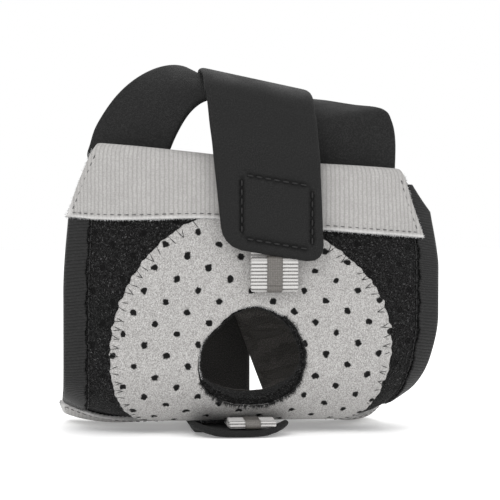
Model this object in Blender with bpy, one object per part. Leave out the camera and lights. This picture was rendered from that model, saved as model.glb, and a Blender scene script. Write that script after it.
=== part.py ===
"""Soft wrist splint: a curled, perforated front panel with a round opening, two overlapping back
flaps that close the sleeve, an arched hand strap, and two hook-and-loop centre straps with
webbing pull tabs. Metres, +Z up. The front face looks along -Y and the floor is z = 0."""

import math

import bpy
from mathutils import Vector

# ---------------------------------------------------------------- driving dimensions
GAP = 0.0003
FOLD_GAP = 0.0005            # between a cloth face and the tape folded over it

PANEL_LENGTH = 0.1150        # along the cloth, from the top fold to the bottom fold
PANEL_HALF_WIDTH = 0.0560    # along the cloth, from the middle to a side edge
PANEL_FLAT_HALF = 0.0250     # flat middle of the plan curve
PLAN_RADIUS = 0.0395         # bend of the panel round the wrist
CURL_START = 0.0582          # straight length before the lower half curls under
CURL_RADIUS = 0.0180
CORNER_LIFT = 0.0045         # how far the curled corners stay above the middle
TOP_SLANT = 0.080            # fall of the top edge to the right, per unit of width
END_TAPER = 0.0115           # each side narrows by this over a trimmed end
EDGE_INSET = 0.0022          # cloth edges stop this far inside the folds that bind them

COVER_THICKNESS = 0.0008
CORE_THICKNESS = 0.0022
LINING_THICKNESS = 0.0005
PATCH_THICKNESS = 0.0006
TRIM_THICKNESS = 0.0009
BINDING_THICKNESS = 0.0006

HOLE_RADIUS = 0.0148
PATCH_RADIUS = 0.0405
TRIM_WIDTH = 0.0200
TRIM_BACK_LEG = 0.0100
BINDING_WIDTH = 0.0066

STRAP_THICKNESS = 0.0018
HOOK_THICKNESS = 0.0010

FLAP_THICKNESS = 0.0030
FLAP_SEAM_INSET = 0.0001     # the flaps' seam lies this far inside the panel's edge
FLAP_SEAM_BEHIND = 0.0030   # and this far behind it
FLAP_CENTRE_Y = 0.0220
FLAP_BACK_ROOM = 0.0215      # from the panel's curled rear edge to the outer flap's outer face
FLAP_SEAM_TOP = 0.0585
FLAP_BACK_TOP = 0.0560
FLAP_SEAM_FOOT = 0.0235
FLAP_BACK_FOOT = 0.0030
FLAP_SPLIT_X = 0.0065        # vertical end of the outer flap below the closure
FLAP_TONGUE_X = 0.0160       # end of the outer flap across the closure
INNER_SPLIT_X = 0.0050       # slanted end of the inner flap, at INNER_SPLIT_Z
INNER_SPLIT_Z = 0.0180
INNER_SPLIT_SLOPE = 0.32

ARCH_THICKNESS = 0.0024
ARCH_ROOT_TUCK = 0.0140      # length of the arch strap sewn behind the trim
ARCH_OUTER_U = 0.0445
ARCH_INNER_U = 0.0240
ARCH_BEND_GAP = 0.0026       # bare bend between a sewn end and the swinging arch
ARCH_AXIS = (0.0, 0.0085, 0.0835)

TOP_STRAP_X = 0.0045         # middle of the top strap where it folds over the arch
TOP_STRAP_END_X = 0.0065
TOP_STRAP_WIDTH = 0.0340
TOP_STRAP_END_WIDTH = 0.0296
TOP_STRAP_END_Z = 0.0515
TOP_STRAP_SLANT = 0.170
TOP_STRAP_CORNER = 0.0050
TOP_HOOK_WIDTH = 0.0196
TOP_HOOK_LOW = 0.0560
TOP_HOOK_HIGH = 0.0700

TAB_WIDTH = 0.0134
TAB_X = 0.0061
TAB_LENGTH = 0.0098
TAB_THICKNESS = 0.0030
TAB_DROP = 0.0018            # the top tab starts this far below the strap's end
WEBBING_THICKNESS = 0.0008
REFLECTOR_WIDTH = 0.0042
REFLECTOR_THICKNESS = 0.0003

BOTTOM_STRAP_X = -0.0031
BOTTOM_STRAP_WIDTH = 0.0290
BOTTOM_STRAP_FRONT = -0.0030
BOTTOM_STRAP_HINGE = 0.0420
BOTTOM_STRAP_SEAM = 0.0065
BOTTOM_HOOK_LENGTH = 0.0095
BOTTOM_HOOK_GAP = 0.0006     # between the lower hook patch and the bottom trim
BOTTOM_TAB_X = 0.0003
BOTTOM_TAB_BACK = 0.0092

STITCH_WIDTH = 0.0005
STITCH_HEIGHT = 0.0003
STITCH_INSET = 0.0016

# ---------------------------------------------------------------- sizes that follow
COVER_BACK = -COVER_THICKNESS
CORE_FRONT = COVER_BACK - GAP
CORE_BACK = CORE_FRONT - CORE_THICKNESS
LINING_FRONT = CORE_BACK - GAP
LINING_BACK = LINING_FRONT - LINING_THICKNESS
PATCH_FACE = GAP + PATCH_THICKNESS
TRIM_BACK = LINING_BACK - FOLD_GAP - TRIM_THICKNESS
PANEL_MID = LINING_BACK / 2
END_HALF_WIDTH = PANEL_HALF_WIDTH - END_TAPER
PANEL_REAR_Y = CURL_RADIUS * (1 - math.pi / 2) + PANEL_LENGTH - CURL_START
EDGE_TURN = (PANEL_HALF_WIDTH - PANEL_FLAT_HALF) / PLAN_RADIUS
FLAP_SEAM_X = PANEL_FLAT_HALF + PLAN_RADIUS * math.sin(EDGE_TURN) - FLAP_SEAM_INSET
FLAP_SEAM_Y = PLAN_RADIUS * (1 - math.cos(EDGE_TURN)) + FLAP_SEAM_BEHIND
FLAP_BACK_DEPTH = PANEL_REAR_Y + FLAP_BACK_ROOM - FLAP_CENTRE_Y
BOTTOM_HOOK_BACK = PANEL_REAR_Y - TRIM_WIDTH - BOTTOM_HOOK_GAP
BOTTOM_HOOK_FRONT = BOTTOM_HOOK_BACK - BOTTOM_HOOK_LENGTH
HOLE_S = PANEL_LENGTH / 2
# The lower strap lies on the floor, its hook patch on it, and the panel's patch on that.
BASE_Z = STRAP_THICKNESS + GAP + HOOK_THICKNESS + GAP + PATCH_FACE
CURL_Z = BASE_Z + CURL_RADIUS
TOP_Z = CURL_Z + CURL_START
TRIM_FACE = FOLD_GAP + TRIM_THICKNESS
THREAD_FACE = TRIM_FACE + GAP + STITCH_HEIGHT
STRAP_BACK_Y = -(THREAD_FACE + GAP + HOOK_THICKNESS + GAP)
STRAP_FACE_Y = STRAP_BACK_Y - STRAP_THICKNESS

FABRICS = {
    "pile": ((0.010, 0.010, 0.011, 1), 0.95),
    "neoprene": ((0.012, 0.012, 0.013, 1), 0.80),
    "lining": ((0.020, 0.017, 0.016, 1), 0.90),
    "fleece": ((0.56, 0.55, 0.53, 1), 0.90),
    "trim": ((0.52, 0.51, 0.50, 1), 0.90),
    "webbing": ((0.74, 0.73, 0.71, 1), 0.80),
    "reflector": ((0.22, 0.21, 0.19, 1), 0.45),
    "hook": ((0.015, 0.015, 0.016, 1), 0.60),
    "thread": ((0.006, 0.006, 0.006, 1), 0.60),
}


def clear_scene():
    for obj in list(bpy.data.objects):
        bpy.data.objects.remove(obj, do_unlink=True)


def smooth(t):
    t = min(max(t, 0.0), 1.0)
    return t * t * (3 - 2 * t)


def spread(low, high, count):
    return [low + (high - low) * i / (count - 1) for i in range(count)]


def curve_through(points, count):
    """Points spread evenly by index along a Catmull-Rom curve through the given points."""
    points = [Vector(p) for p in points]
    ends = [2 * points[0] - points[1]] + points + [2 * points[-1] - points[-2]]
    found = []
    for position in spread(0, len(points) - 1, count):
        i = min(int(position), len(points) - 2)
        t = position - i
        a, b, c, d = ends[i:i + 4]
        found.append(0.5 * (2 * b + (c - a) * t + (2 * a - 5 * b + 4 * c - d) * t ** 2
                            + (3 * b - a - 3 * c + d) * t ** 3))
    return found


def add_body(name, fabric, vertices, faces):
    mesh = bpy.data.meshes.new(name)
    mesh.from_pydata([tuple(v) for v in vertices], [], faces)
    mesh.update()
    colour, roughness = FABRICS[fabric]
    material = bpy.data.materials.new(name + "_material")
    material.use_nodes = True
    shader = material.node_tree.nodes["Principled BSDF"]
    shader.inputs["Base Color"].default_value = colour
    shader.inputs["Roughness"].default_value = roughness
    mesh.materials.append(material)
    obj = bpy.data.objects.new(name, mesh)
    bpy.context.scene.collection.objects.link(obj)
    return obj


def slab_faces(rows, cols, wrap, start):
    """Faces of a closed sheet: the outer grid comes first, then the inner grid."""
    def outer(r, c):
        return start + (r % rows) * cols + c

    def inner(r, c):
        return start + rows * cols + (r % rows) * cols + c

    last = rows if wrap else rows - 1
    faces = []
    for r in range(last):
        for c in range(cols - 1):
            faces.append((outer(r, c), outer(r + 1, c), outer(r + 1, c + 1), outer(r, c + 1)))
            faces.append((inner(r, c), inner(r, c + 1), inner(r + 1, c + 1), inner(r + 1, c)))
        faces.append((outer(r, 0), inner(r, 0), inner(r + 1, 0), outer(r + 1, 0)))
        edge = cols - 1
        faces.append((outer(r, edge), outer(r + 1, edge), inner(r + 1, edge), inner(r, edge)))
    if not wrap:
        end = rows - 1
        for c in range(cols - 1):
            faces.append((outer(0, c), outer(0, c + 1), inner(0, c + 1), inner(0, c)))
            faces.append((outer(end, c), inner(end, c), inner(end, c + 1), outer(end, c + 1)))
    return faces


def face_outwards(vertices, faces):
    """The faces, turned round when they enclose a negative volume."""
    volume = 0.0
    for face in faces:
        first = vertices[face[0]]
        for i in range(1, len(face) - 1):
            volume += first.dot(vertices[face[i]].cross(vertices[face[i + 1]]))
    if volume < 0:
        return [tuple(reversed(face)) for face in faces]
    return faces


def slabs(name, fabric, sheets, wrap=False):
    """One object of closed sheets, each given as an outer and an inner grid of points."""
    vertices = []
    faces = []
    for outer, inner in sheets:
        points = [Vector(p) for row in outer for p in row]
        points += [Vector(p) for row in inner for p in row]
        middle = sum(points, Vector()) / len(points)
        sheet = slab_faces(len(outer), len(outer[0]), wrap, 0)
        sheet = face_outwards([p - middle for p in points], sheet)
        faces += [tuple(len(vertices) + i for i in face) for face in sheet]
        vertices += points
    return add_body(name, fabric, vertices, faces)


# ---------------------------------------------------------------- the front panel's surface
def panel_point(u, s):
    """A point of the panel's outer face: u runs across the cloth and s down it."""
    over = abs(u) - PANEL_FLAT_HALF
    turn = max(over, 0) / PLAN_RADIUS
    side = math.copysign(1, u)
    x = u if over <= 0 else side * (PANEL_FLAT_HALF + PLAN_RADIUS * math.sin(turn))
    y = PLAN_RADIUS * (1 - math.cos(turn))
    quarter = CURL_RADIUS * math.pi / 2
    if s <= CURL_START:
        z = TOP_Z - s
    elif s <= CURL_START + quarter:
        tilt = (s - CURL_START) / CURL_RADIUS
        y += CURL_RADIUS * (1 - math.cos(tilt))
        z = CURL_Z - CURL_RADIUS * math.sin(tilt)
    else:
        y += CURL_RADIUS + s - CURL_START - quarter
        z = BASE_Z
    reach = max(over, 0) / (PANEL_HALF_WIDTH - PANEL_FLAT_HALF)
    z += CORNER_LIFT * reach ** 2 * smooth((s - CURL_START) / quarter)
    z -= TOP_SLANT * x * (1 - smooth((s - TRIM_WIDTH) / (HOLE_S - HOLE_RADIUS - TRIM_WIDTH)))
    return Vector((x, y, z))


def panel(u, s, n):
    """panel_point moved out of the face by n."""
    step = 0.0002
    across = panel_point(u + step, s) - panel_point(u - step, s)
    down = panel_point(u, s + step) - panel_point(u, s - step)
    return panel_point(u, s) - n * across.cross(down).normalized()


def half_width(s):
    near_end = min(s, PANEL_LENGTH - s)
    share = min(max(near_end, 0) / TRIM_WIDTH, 1)
    return END_HALF_WIDTH + (PANEL_HALF_WIDTH - END_HALF_WIDTH) * share


def panel_reach(angle):
    """Distance from the opening's middle to the cloth edge, along the cloth."""
    side = PANEL_HALF_WIDTH - EDGE_INSET
    end_side = END_HALF_WIDTH - EDGE_INSET
    half = HOLE_S - EDGE_INSET
    shoulder = HOLE_S - TRIM_WIDTH
    c = abs(math.cos(angle))
    d = abs(math.sin(angle))
    found = half / max(d, 1e-9)
    found = min(found, side / max(c, 1e-9))
    slope = (side - end_side) / (half - shoulder)
    return min(found, (side + slope * shoulder) / (c + slope * d))


def patch_reach(angle):
    clear = HOLE_S - TRIM_WIDTH - GAP
    return min(PATCH_RADIUS, clear / max(abs(math.sin(angle)), 1e-9))


def ring_angles():
    side = PANEL_HALF_WIDTH - EDGE_INSET
    shoulder = math.atan2(HOLE_S - TRIM_WIDTH, side)
    corner = math.atan2(HOLE_S - EDGE_INSET, END_HALF_WIDTH - EDGE_INSET)
    kept = [shoulder, corner]
    clear = HOLE_S - TRIM_WIDTH - GAP
    if clear < PATCH_RADIUS:
        kept.append(math.asin(clear / PATCH_RADIUS))
    kept += [math.pi - a for a in kept]
    kept += [-a for a in kept]
    even = [-math.pi + 2 * math.pi * i / 60 for i in range(60)]
    even = [a for a in even if min(abs(a - k) for k in kept) > 0.04]
    return sorted(kept + even)


def ring_sheet(name, fabric, reach, front, back, far_steps):
    """A sheet round the opening, out to the distance reach gives at each angle."""
    outer = []
    inner = []
    for angle in ring_angles():
        edge = reach(angle)
        limit = min(edge, patch_reach(angle))
        radii = spread(HOLE_RADIUS, limit, 8)
        if far_steps:
            radii += spread(limit, edge, far_steps + 1)[1:]
        row = [(r * math.cos(angle), HOLE_S - r * math.sin(angle)) for r in radii]
        outer.append([panel(u, s, front) for u, s in row])
        inner.append([panel(u, s, back) for u, s in row])
    return slabs(name, fabric, [(outer, inner)], wrap=True)


def fold_line(leg_front, leg_back, thickness):
    """(distance from the fold, face) pairs of a tape folded round a cloth edge, both faces."""
    inner_radius = FOLD_GAP - PANEL_MID
    outer = [(leg_front, PANEL_MID + inner_radius + thickness)]
    inner = [(leg_front, PANEL_MID + inner_radius)]
    for turn in spread(0, math.pi, 9):
        for line, radius in ((outer, inner_radius + thickness), (inner, inner_radius)):
            line.append((EDGE_INSET - radius * math.sin(turn),
                         PANEL_MID + radius * math.cos(turn)))
    outer.append((leg_back, PANEL_MID - inner_radius - thickness))
    inner.append((leg_back, PANEL_MID - inner_radius))
    return outer, inner


def trim(name, at_top):
    """A tape folded over one end of the panel."""
    def place(t, depth, n):
        s = depth if at_top else PANEL_LENGTH - depth
        return panel(t * half_width(max(min(s, PANEL_LENGTH), 0)), s, n)

    outer_line, inner_line = fold_line(TRIM_WIDTH, TRIM_BACK_LEG, TRIM_THICKNESS)
    stations = spread(-1, 1, 33)
    outer = [[place(t, depth, n) for depth, n in outer_line] for t in stations]
    inner = [[place(t, depth, n) for depth, n in inner_line] for t in stations]
    return slabs(name, "trim", [(outer, inner)])


def binding(name, side):
    """The overlocked edge between the trims on one side."""
    outer_line, inner_line = fold_line(BINDING_WIDTH, BINDING_WIDTH, BINDING_THICKNESS)
    stations = spread(TRIM_WIDTH + GAP, PANEL_LENGTH - TRIM_WIDTH - GAP, 22)

    def place(depth, s, n):
        return panel(side * (PANEL_HALF_WIDTH - depth), s, n)

    outer = [[place(depth, s, n) for depth, n in outer_line] for s in stations]
    inner = [[place(depth, s, n) for depth, n in inner_line] for s in stations]
    return slabs(name, "thread", [(outer, inner)])


# ---------------------------------------------------------------- back flaps
def flap_end(z, outer_flap):
    if outer_flap:
        share = smooth((z - 0.024) / 0.012)
        return FLAP_SPLIT_X + (FLAP_TONGUE_X - FLAP_SPLIT_X) * share
    return INNER_SPLIT_X - INNER_SPLIT_SLOPE * (z - INNER_SPLIT_Z)


def flap_point(turn, inset, outer_flap):
    """A plan point of a flap's outer face, moved in by inset; turn is 0 at the seam side."""
    side = -1 if outer_flap else 1
    depth = FLAP_BACK_DEPTH
    if not outer_flap:
        depth -= (FLAP_THICKNESS + 2 * GAP + HOOK_THICKNESS) * smooth(turn / 1.2)
    x = FLAP_SEAM_X * math.cos(turn)
    y = depth * math.sin(turn)
    normal = Vector((depth * math.cos(turn), FLAP_SEAM_X * math.sin(turn), 0)).normalized()
    return Vector((side * (x - inset * normal.x), FLAP_CENTRE_Y + y - inset * normal.y, 0))


def flap_height(turn, share):
    back = smooth(turn / (math.pi / 2))
    foot = FLAP_SEAM_FOOT + (FLAP_BACK_FOOT - FLAP_SEAM_FOOT) * back
    top = FLAP_SEAM_TOP + (FLAP_BACK_TOP - FLAP_SEAM_TOP) * back
    return foot + (top - foot) * share


def flap_turn_at(x, outer_flap):
    """The turn at which the flap's outer face reaches this x, past the middle of the back."""
    side = -1 if outer_flap else 1
    return math.acos(max(min(side * x / FLAP_SEAM_X, 1), -1))


def flap(name, outer_flap):
    first = -math.asin((FLAP_CENTRE_Y - FLAP_SEAM_Y) / FLAP_BACK_DEPTH)
    outer = []
    inner = []
    for share in spread(0, 1, 13):
        last_z = flap_height(math.pi / 2, share)
        last = flap_turn_at(flap_end(last_z, outer_flap), outer_flap)
        turns = spread(first, last, 27)
        heights = [flap_height(turn, share) for turn in turns]
        for grid, inset in ((outer, 0), (inner, FLAP_THICKNESS)):
            points = [flap_point(turn, inset, outer_flap) for turn in turns]
            grid.append([p + Vector((0, 0, z)) for p, z in zip(points, heights)])
    return slabs(name, "neoprene", [(outer, inner)])


def flap_hook():
    """The hook patch on the outer face of the inner flap, under the closure."""
    outer = []
    inner = []
    for z in spread(0.036, 0.052, 6):
        near = flap_turn_at(flap_end(z, False) + 0.0015, False)
        far = flap_turn_at(FLAP_TONGUE_X - 0.003, False)
        turns = spread(far, near, 7)
        for grid, inset in ((outer, -GAP - HOOK_THICKNESS), (inner, -GAP)):
            grid.append([flap_point(t, inset, False) + Vector((0, 0, z)) for t in turns])
    return slabs("flap_hook_patch", "hook", [(outer, inner)])


# ---------------------------------------------------------------- arch strap
def axis_height(x):
    return ARCH_AXIS[2] - TOP_SLANT * x


def arch_root(name, side):
    """A sewn end of the arch strap, behind the trim's back leg."""
    low = TOP_Z - axis_height(0) + ARCH_ROOT_TUCK
    face = TRIM_BACK - GAP
    outer = []
    inner = []
    for s in spread(low, TOP_Z - axis_height(0) + ARCH_BEND_GAP, 6):
        row = [side * u for u in spread(ARCH_INNER_U, ARCH_OUTER_U, 8)]
        outer.append([panel(u, s, face) for u in row])
        inner.append([panel(u, s, face - ARCH_THICKNESS) for u in row])
    return slabs(name, "neoprene", [(outer, inner)])


def arch_edges():
    """The far and the near edge of the arch strap, from the left end to the right end."""
    root_y = 0.0085
    far = [
        (-0.0455, root_y + 0.0045, 0.0875), (-0.0435, 0.0140, 0.0905),
        (-0.0389, 0.0170, 0.0955), (-0.0330, 0.0200, 0.0995),
        (-0.0270, 0.0225, 0.1020), (-0.0210, 0.0235, 0.1022),
        (-0.0140, 0.0240, 0.1008), (0.0045, 0.0235, 0.0976),
        (0.0193, 0.0225, 0.0951), (0.0310, 0.0190, 0.0922),
        (0.0375, 0.0160, 0.0892), (0.0408, 0.0140, 0.0860),
        (0.0430, root_y + 0.0045, 0.0805),
    ]
    near = [
        (-0.0240, root_y - 0.0010, 0.0860), (-0.0213, 0.0072, 0.0885),
        (-0.0188, 0.0066, 0.0908), (-0.0160, 0.0060, 0.0930),
        (-0.0130, 0.0054, 0.0946), (-0.0095, 0.0050, 0.0955),
        (-0.0050, 0.0048, 0.0954), (0.0045, 0.0047, 0.0942),
        (0.0130, 0.0050, 0.0922), (0.0185, 0.0056, 0.0896),
        (0.0210, 0.0062, 0.0868), (0.0222, 0.0068, 0.0842),
        (0.0230, root_y - 0.0010, 0.0824),
    ]
    return curve_through(far, 41), curve_through(near, 41)


def arch_sheet(depth):
    """The arch strap's middle surface, moved along its own normal by depth."""
    far, near = arch_edges()
    crown = 0.0010
    rows = []
    grid = [[f.lerp(n, t) for t in spread(0, 1, 7)] for f, n in zip(far, near)]
    for i, row in enumerate(grid):
        ahead = grid[min(i + 1, len(grid) - 1)]
        behind = grid[max(i - 1, 0)]
        moved = []
        for j, point in enumerate(row):
            along = ahead[j] - behind[j]
            across = row[-1] - row[0]
            normal = along.cross(across).normalized()
            if normal.z - normal.y < 0:
                normal.negate()
            rise = crown * math.sin(math.pi * j / (len(row) - 1))
            moved.append(point + normal * (depth + rise))
        rows.append(moved)
    return rows


def arch_strap():
    half = ARCH_THICKNESS / 2
    return slabs("arch_strap", "neoprene", [(arch_sheet(half), arch_sheet(-half))])


# ---------------------------------------------------------------- straps
def path_sheet(path, widths, middles, slant, thickness, columns=9):
    """Both faces of a strap: its middle line runs in Y and Z, its width along X."""
    outer = []
    inner = []
    for i, (y, z) in enumerate(path):
        ahead = path[min(i + 1, len(path) - 1)]
        behind = path[max(i - 1, 0)]
        along = Vector((0, ahead[0] - behind[0], ahead[1] - behind[1])).normalized()
        normal = Vector((0, along.z, -along.y))
        xs = spread(middles[i] - widths[i] / 2, middles[i] + widths[i] / 2, columns)
        for grid, side in ((outer, 0.5), (inner, -0.5)):
            row = [Vector((x, y, z - slant * (x - middles[i]))) for x in xs]
            grid.append([p + normal * side * thickness for p in row])
    return outer, inner


def rounded_end(width, corner, distance):
    """Width of a strap at this distance from its end, with two rounded corners."""
    if distance >= corner:
        return width
    missing = corner - math.sqrt(max(corner ** 2 - (corner - distance) ** 2, 0))
    return width - 2 * missing


def yz_curve(points, count):
    return [(p.y, p.z) for p in curve_through([(0, y, z) for y, z in points], count)]


def strap_fold():
    """The top strap where it wraps the arch, from its sewn tail to the bend of the free part."""
    path = yz_curve([(0.0120, 0.0919), (0.0185, 0.0930), (0.0235, 0.0940), (0.0260, 0.0962),
                     (0.0256, 0.0990), (0.0222, 0.1003), (0.0150, 0.0999), (0.0054, 0.0976)], 22)
    widths = [TOP_STRAP_WIDTH] * len(path)
    middles = [TOP_STRAP_X] * len(path)
    sheet = path_sheet(path, widths, middles, TOP_STRAP_SLANT, STRAP_THICKNESS)
    return slabs("top_strap_fold", "neoprene", [sheet])


def top_strap_path():
    face = (STRAP_BACK_Y + STRAP_FACE_Y) / 2
    upper = yz_curve([(0.0047, 0.0973), (0.0014, 0.0948), (-0.0012, 0.0907), (-0.0029, 0.0860),
                      (face - 0.0004, 0.0820), (face, 0.0780)], 13)
    drop = [0, 0.004, 0.008, 0.013, 0.018, 0.0215, 0.0240, 0.0255, 0.02625, 0.0265]
    return upper[:-1] + [(face, 0.0780 - d) for d in drop]


def top_strap():
    path = top_strap_path()
    top = path[0][1]
    end = path[-1][1]
    widths = []
    middles = []
    for _, z in path:
        share = (top - z) / (top - end)
        width = TOP_STRAP_WIDTH + (TOP_STRAP_END_WIDTH - TOP_STRAP_WIDTH) * share
        widths.append(rounded_end(width, TOP_STRAP_CORNER, z - end))
        middles.append(TOP_STRAP_X + (TOP_STRAP_END_X - TOP_STRAP_X) * share)
    sheet = path_sheet(path, widths, middles, TOP_STRAP_SLANT, STRAP_THICKNESS)
    return slabs("top_strap", "neoprene", [sheet])


def plate(name, fabric, low, high):
    """A flat rectangular piece between two opposite corners."""
    (x0, y0, z0), (x1, y1, z1) = low, high
    outer = [[(x0, y0, z0), (x1, y0, z0)], [(x0, y0, z1), (x1, y0, z1)]]
    inner = [[(x0, y1, z0), (x1, y1, z0)], [(x0, y1, z1), (x1, y1, z1)]]
    return slabs(name, fabric, [(outer, inner)])


def top_hook():
    y = STRAP_BACK_Y + GAP + HOOK_THICKNESS / 2
    path = [(y, z) for z in spread(TOP_HOOK_HIGH, TOP_HOOK_LOW, 4)]
    sheet = path_sheet(path, [TOP_HOOK_WIDTH] * 4, [TOP_STRAP_END_X] * 4, TOP_STRAP_SLANT,
                       HOOK_THICKNESS, columns=3)
    return slabs("top_strap_hook_patch", "hook", [sheet])


def racetrack(near, far, half_thickness, count):
    """A closed loop line: (along, across) points round two ends."""
    points = []
    for turn in spread(-math.pi / 2, math.pi / 2, count):
        points.append((far - half_thickness + half_thickness * math.cos(turn),
                       half_thickness * math.sin(turn)))
    for turn in spread(math.pi / 2, 3 * math.pi / 2, count):
        points.append((near + half_thickness + half_thickness * math.cos(turn),
                       half_thickness * math.sin(turn)))
    return points


def tab_loop(name, place, x):
    """A loop of webbing; place turns (along, across) into a point's y and z."""
    half = TAB_THICKNESS / 2
    outer = []
    inner = []
    lines = (racetrack(0, TAB_LENGTH, half, 7),
             [(a, b) for a, b in racetrack(WEBBING_THICKNESS, TAB_LENGTH - WEBBING_THICKNESS,
                                           half - WEBBING_THICKNESS, 7)])
    for grid, line in zip((outer, inner), lines):
        for along, across in line:
            y, z = place(along, across)
            grid.append([(x - TAB_WIDTH / 2, y, z), (x + TAB_WIDTH / 2, y, z)])
    return slabs(name, "webbing", [(outer, inner)], wrap=True)


def tab_stripe(name, place, x):
    """The reflective stripe round the middle of a pull tab."""
    half = TAB_THICKNESS / 2
    near = half + GAP
    outer = []
    inner = []
    far_centre = TAB_LENGTH - half
    for grid, radius in ((outer, near + REFLECTOR_THICKNESS), (inner, near)):
        line = [(half + 0.001, -radius)]
        for turn in spread(-math.pi / 2, math.pi / 2, 7):
            line.append((far_centre + radius * math.cos(turn), radius * math.sin(turn)))
        line.append((half + 0.001, radius))
        for along, across in line:
            y, z = place(along, across)
            grid.append([(x - REFLECTOR_WIDTH / 2, y, z), (x + REFLECTOR_WIDTH / 2, y, z)])
    return slabs(name, "reflector", [(outer, inner)])


def top_tab_place(along, across):
    y = -(PATCH_FACE + 2 * GAP + REFLECTOR_THICKNESS + TAB_THICKNESS / 2)
    return y + across, TOP_STRAP_END_Z - TAB_DROP - along


def bottom_tab_place(along, across):
    z = STRAP_THICKNESS + 2 * GAP + REFLECTOR_THICKNESS + TAB_THICKNESS / 2
    return BOTTOM_TAB_BACK - GAP - along, z + across


def bottom_strap():
    distances = [0, 0.0003, 0.0010, 0.0024, 0.0045, 0.0075, 0.0120, 0.0180, 0.0260, 0.0340,
                 BOTTOM_STRAP_HINGE - BOTTOM_STRAP_FRONT - GAP]
    path = [(BOTTOM_STRAP_FRONT + d, STRAP_THICKNESS / 2) for d in distances]
    widths = [rounded_end(BOTTOM_STRAP_WIDTH, 0.0075, d) for d in distances]
    sheet = path_sheet(path, widths, [BOTTOM_STRAP_X] * len(path), 0, STRAP_THICKNESS)
    return slabs("bottom_strap", "neoprene", [sheet])


def bottom_root():
    """The lower strap's sewn end, under the trim at the back of the curled panel."""
    top = BASE_Z - TRIM_FACE - GAP
    path = [(y, top - STRAP_THICKNESS / 2)
            for y in (BOTTOM_STRAP_HINGE + GAP, BOTTOM_STRAP_HINGE + BOTTOM_STRAP_SEAM)]
    sheet = path_sheet(path, [BOTTOM_STRAP_WIDTH] * 2, [BOTTOM_STRAP_X] * 2, 0, STRAP_THICKNESS)
    return slabs("bottom_strap_sewn_end", "neoprene", [sheet])


# ---------------------------------------------------------------- stitching
def box_thread():
    """The square row of thread that holds the hook patch, on the top strap's face."""
    inset = 0.0008
    rows = ([], [], [], [])
    for x_side, z_side in ((-1, 1), (1, 1), (1, -1), (-1, -1)):
        for row, grow in zip(rows, (STITCH_WIDTH / 2, -STITCH_WIDTH / 2, 0, 0)):
            half = TOP_HOOK_WIDTH / 2 - inset + grow
            middle = (TOP_HOOK_HIGH + TOP_HOOK_LOW) / 2
            rise = (TOP_HOOK_HIGH - TOP_HOOK_LOW) / 2 - inset + grow
            row.append((x_side * half, middle + z_side * rise - TOP_STRAP_SLANT * x_side * half))
    face = STRAP_FACE_Y - GAP
    outer = [[(TOP_STRAP_END_X + x, face - STITCH_HEIGHT, z) for x, z in pair]
             for pair in zip(rows[0], rows[1])]
    inner = [[(x, face, z) for x, _, z in line] for line in outer]
    return slabs("top_strap_stitching", "thread", [(outer, inner)], wrap=True)


def trim_thread(name, at_top):
    """The row of thread along a trim's free edge."""
    depth = TRIM_WIDTH - STITCH_INSET
    s = depth if at_top else PANEL_LENGTH - depth
    reach = half_width(s) - 2 * STITCH_INSET
    outer = []
    inner = []
    for u in spread(-reach, reach, 25):
        row = (s - STITCH_WIDTH / 2, s + STITCH_WIDTH / 2)
        outer.append([panel(u, across, THREAD_FACE) for across in row])
        inner.append([panel(u, across, TRIM_FACE + GAP) for across in row])
    return slabs(name, "reflector", [(outer, inner)])


# ---------------------------------------------------------------- build
clear_scene()

ring_sheet("front_pile_cover", "pile", panel_reach, 0, COVER_BACK, 6)
ring_sheet("front_neoprene", "neoprene", panel_reach, CORE_FRONT, CORE_BACK, 6)
ring_sheet("front_lining", "lining", panel_reach, LINING_FRONT, LINING_BACK, 6)
ring_sheet("centre_patch", "fleece", patch_reach, PATCH_FACE, GAP, 0)
trim("top_trim", True)
trim("bottom_trim", False)
trim_thread("top_trim_stitching", True)
trim_thread("bottom_trim_stitching", False)
binding("left_edge_binding", -1)
binding("right_edge_binding", 1)

flap("outer_flap", True)
flap("inner_flap", False)
flap_hook()

arch_root("arch_strap_left_end", -1)
arch_root("arch_strap_right_end", 1)
arch_strap()
strap_fold()
top_strap()
top_hook()
box_thread()

tab_root_y = STRAP_BACK_Y + GAP
plate("top_tab_root", "webbing",
      (TAB_X - TAB_WIDTH / 2, tab_root_y, TOP_STRAP_END_Z + 0.0002),
      (TAB_X + TAB_WIDTH / 2, tab_root_y + HOOK_THICKNESS, TOP_HOOK_LOW - 0.0020))
tab_loop("top_tab", top_tab_place, TAB_X)
tab_stripe("top_tab_reflector", top_tab_place, TAB_X)

bottom_strap()
bottom_root()
plate("bottom_strap_hook_patch", "hook",
      (BOTTOM_STRAP_X - TOP_HOOK_WIDTH / 2, BOTTOM_HOOK_FRONT, STRAP_THICKNESS + GAP),
      (BOTTOM_STRAP_X + TOP_HOOK_WIDTH / 2, BOTTOM_HOOK_BACK,
       STRAP_THICKNESS + GAP + HOOK_THICKNESS))
plate("bottom_tab_root", "webbing",
      (BOTTOM_TAB_X - TAB_WIDTH / 2, BOTTOM_TAB_BACK, STRAP_THICKNESS + GAP),
      (BOTTOM_TAB_X + TAB_WIDTH / 2, BOTTOM_HOOK_FRONT - GAP,
       STRAP_THICKNESS + GAP + HOOK_THICKNESS))
tab_loop("bottom_tab", bottom_tab_place, BOTTOM_TAB_X)
tab_stripe("bottom_tab_reflector", bottom_tab_place, BOTTOM_TAB_X)
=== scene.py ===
"""Looks of the soft wrist splint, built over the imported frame. Metres, +Z up, front along -Y."""

import math

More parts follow.
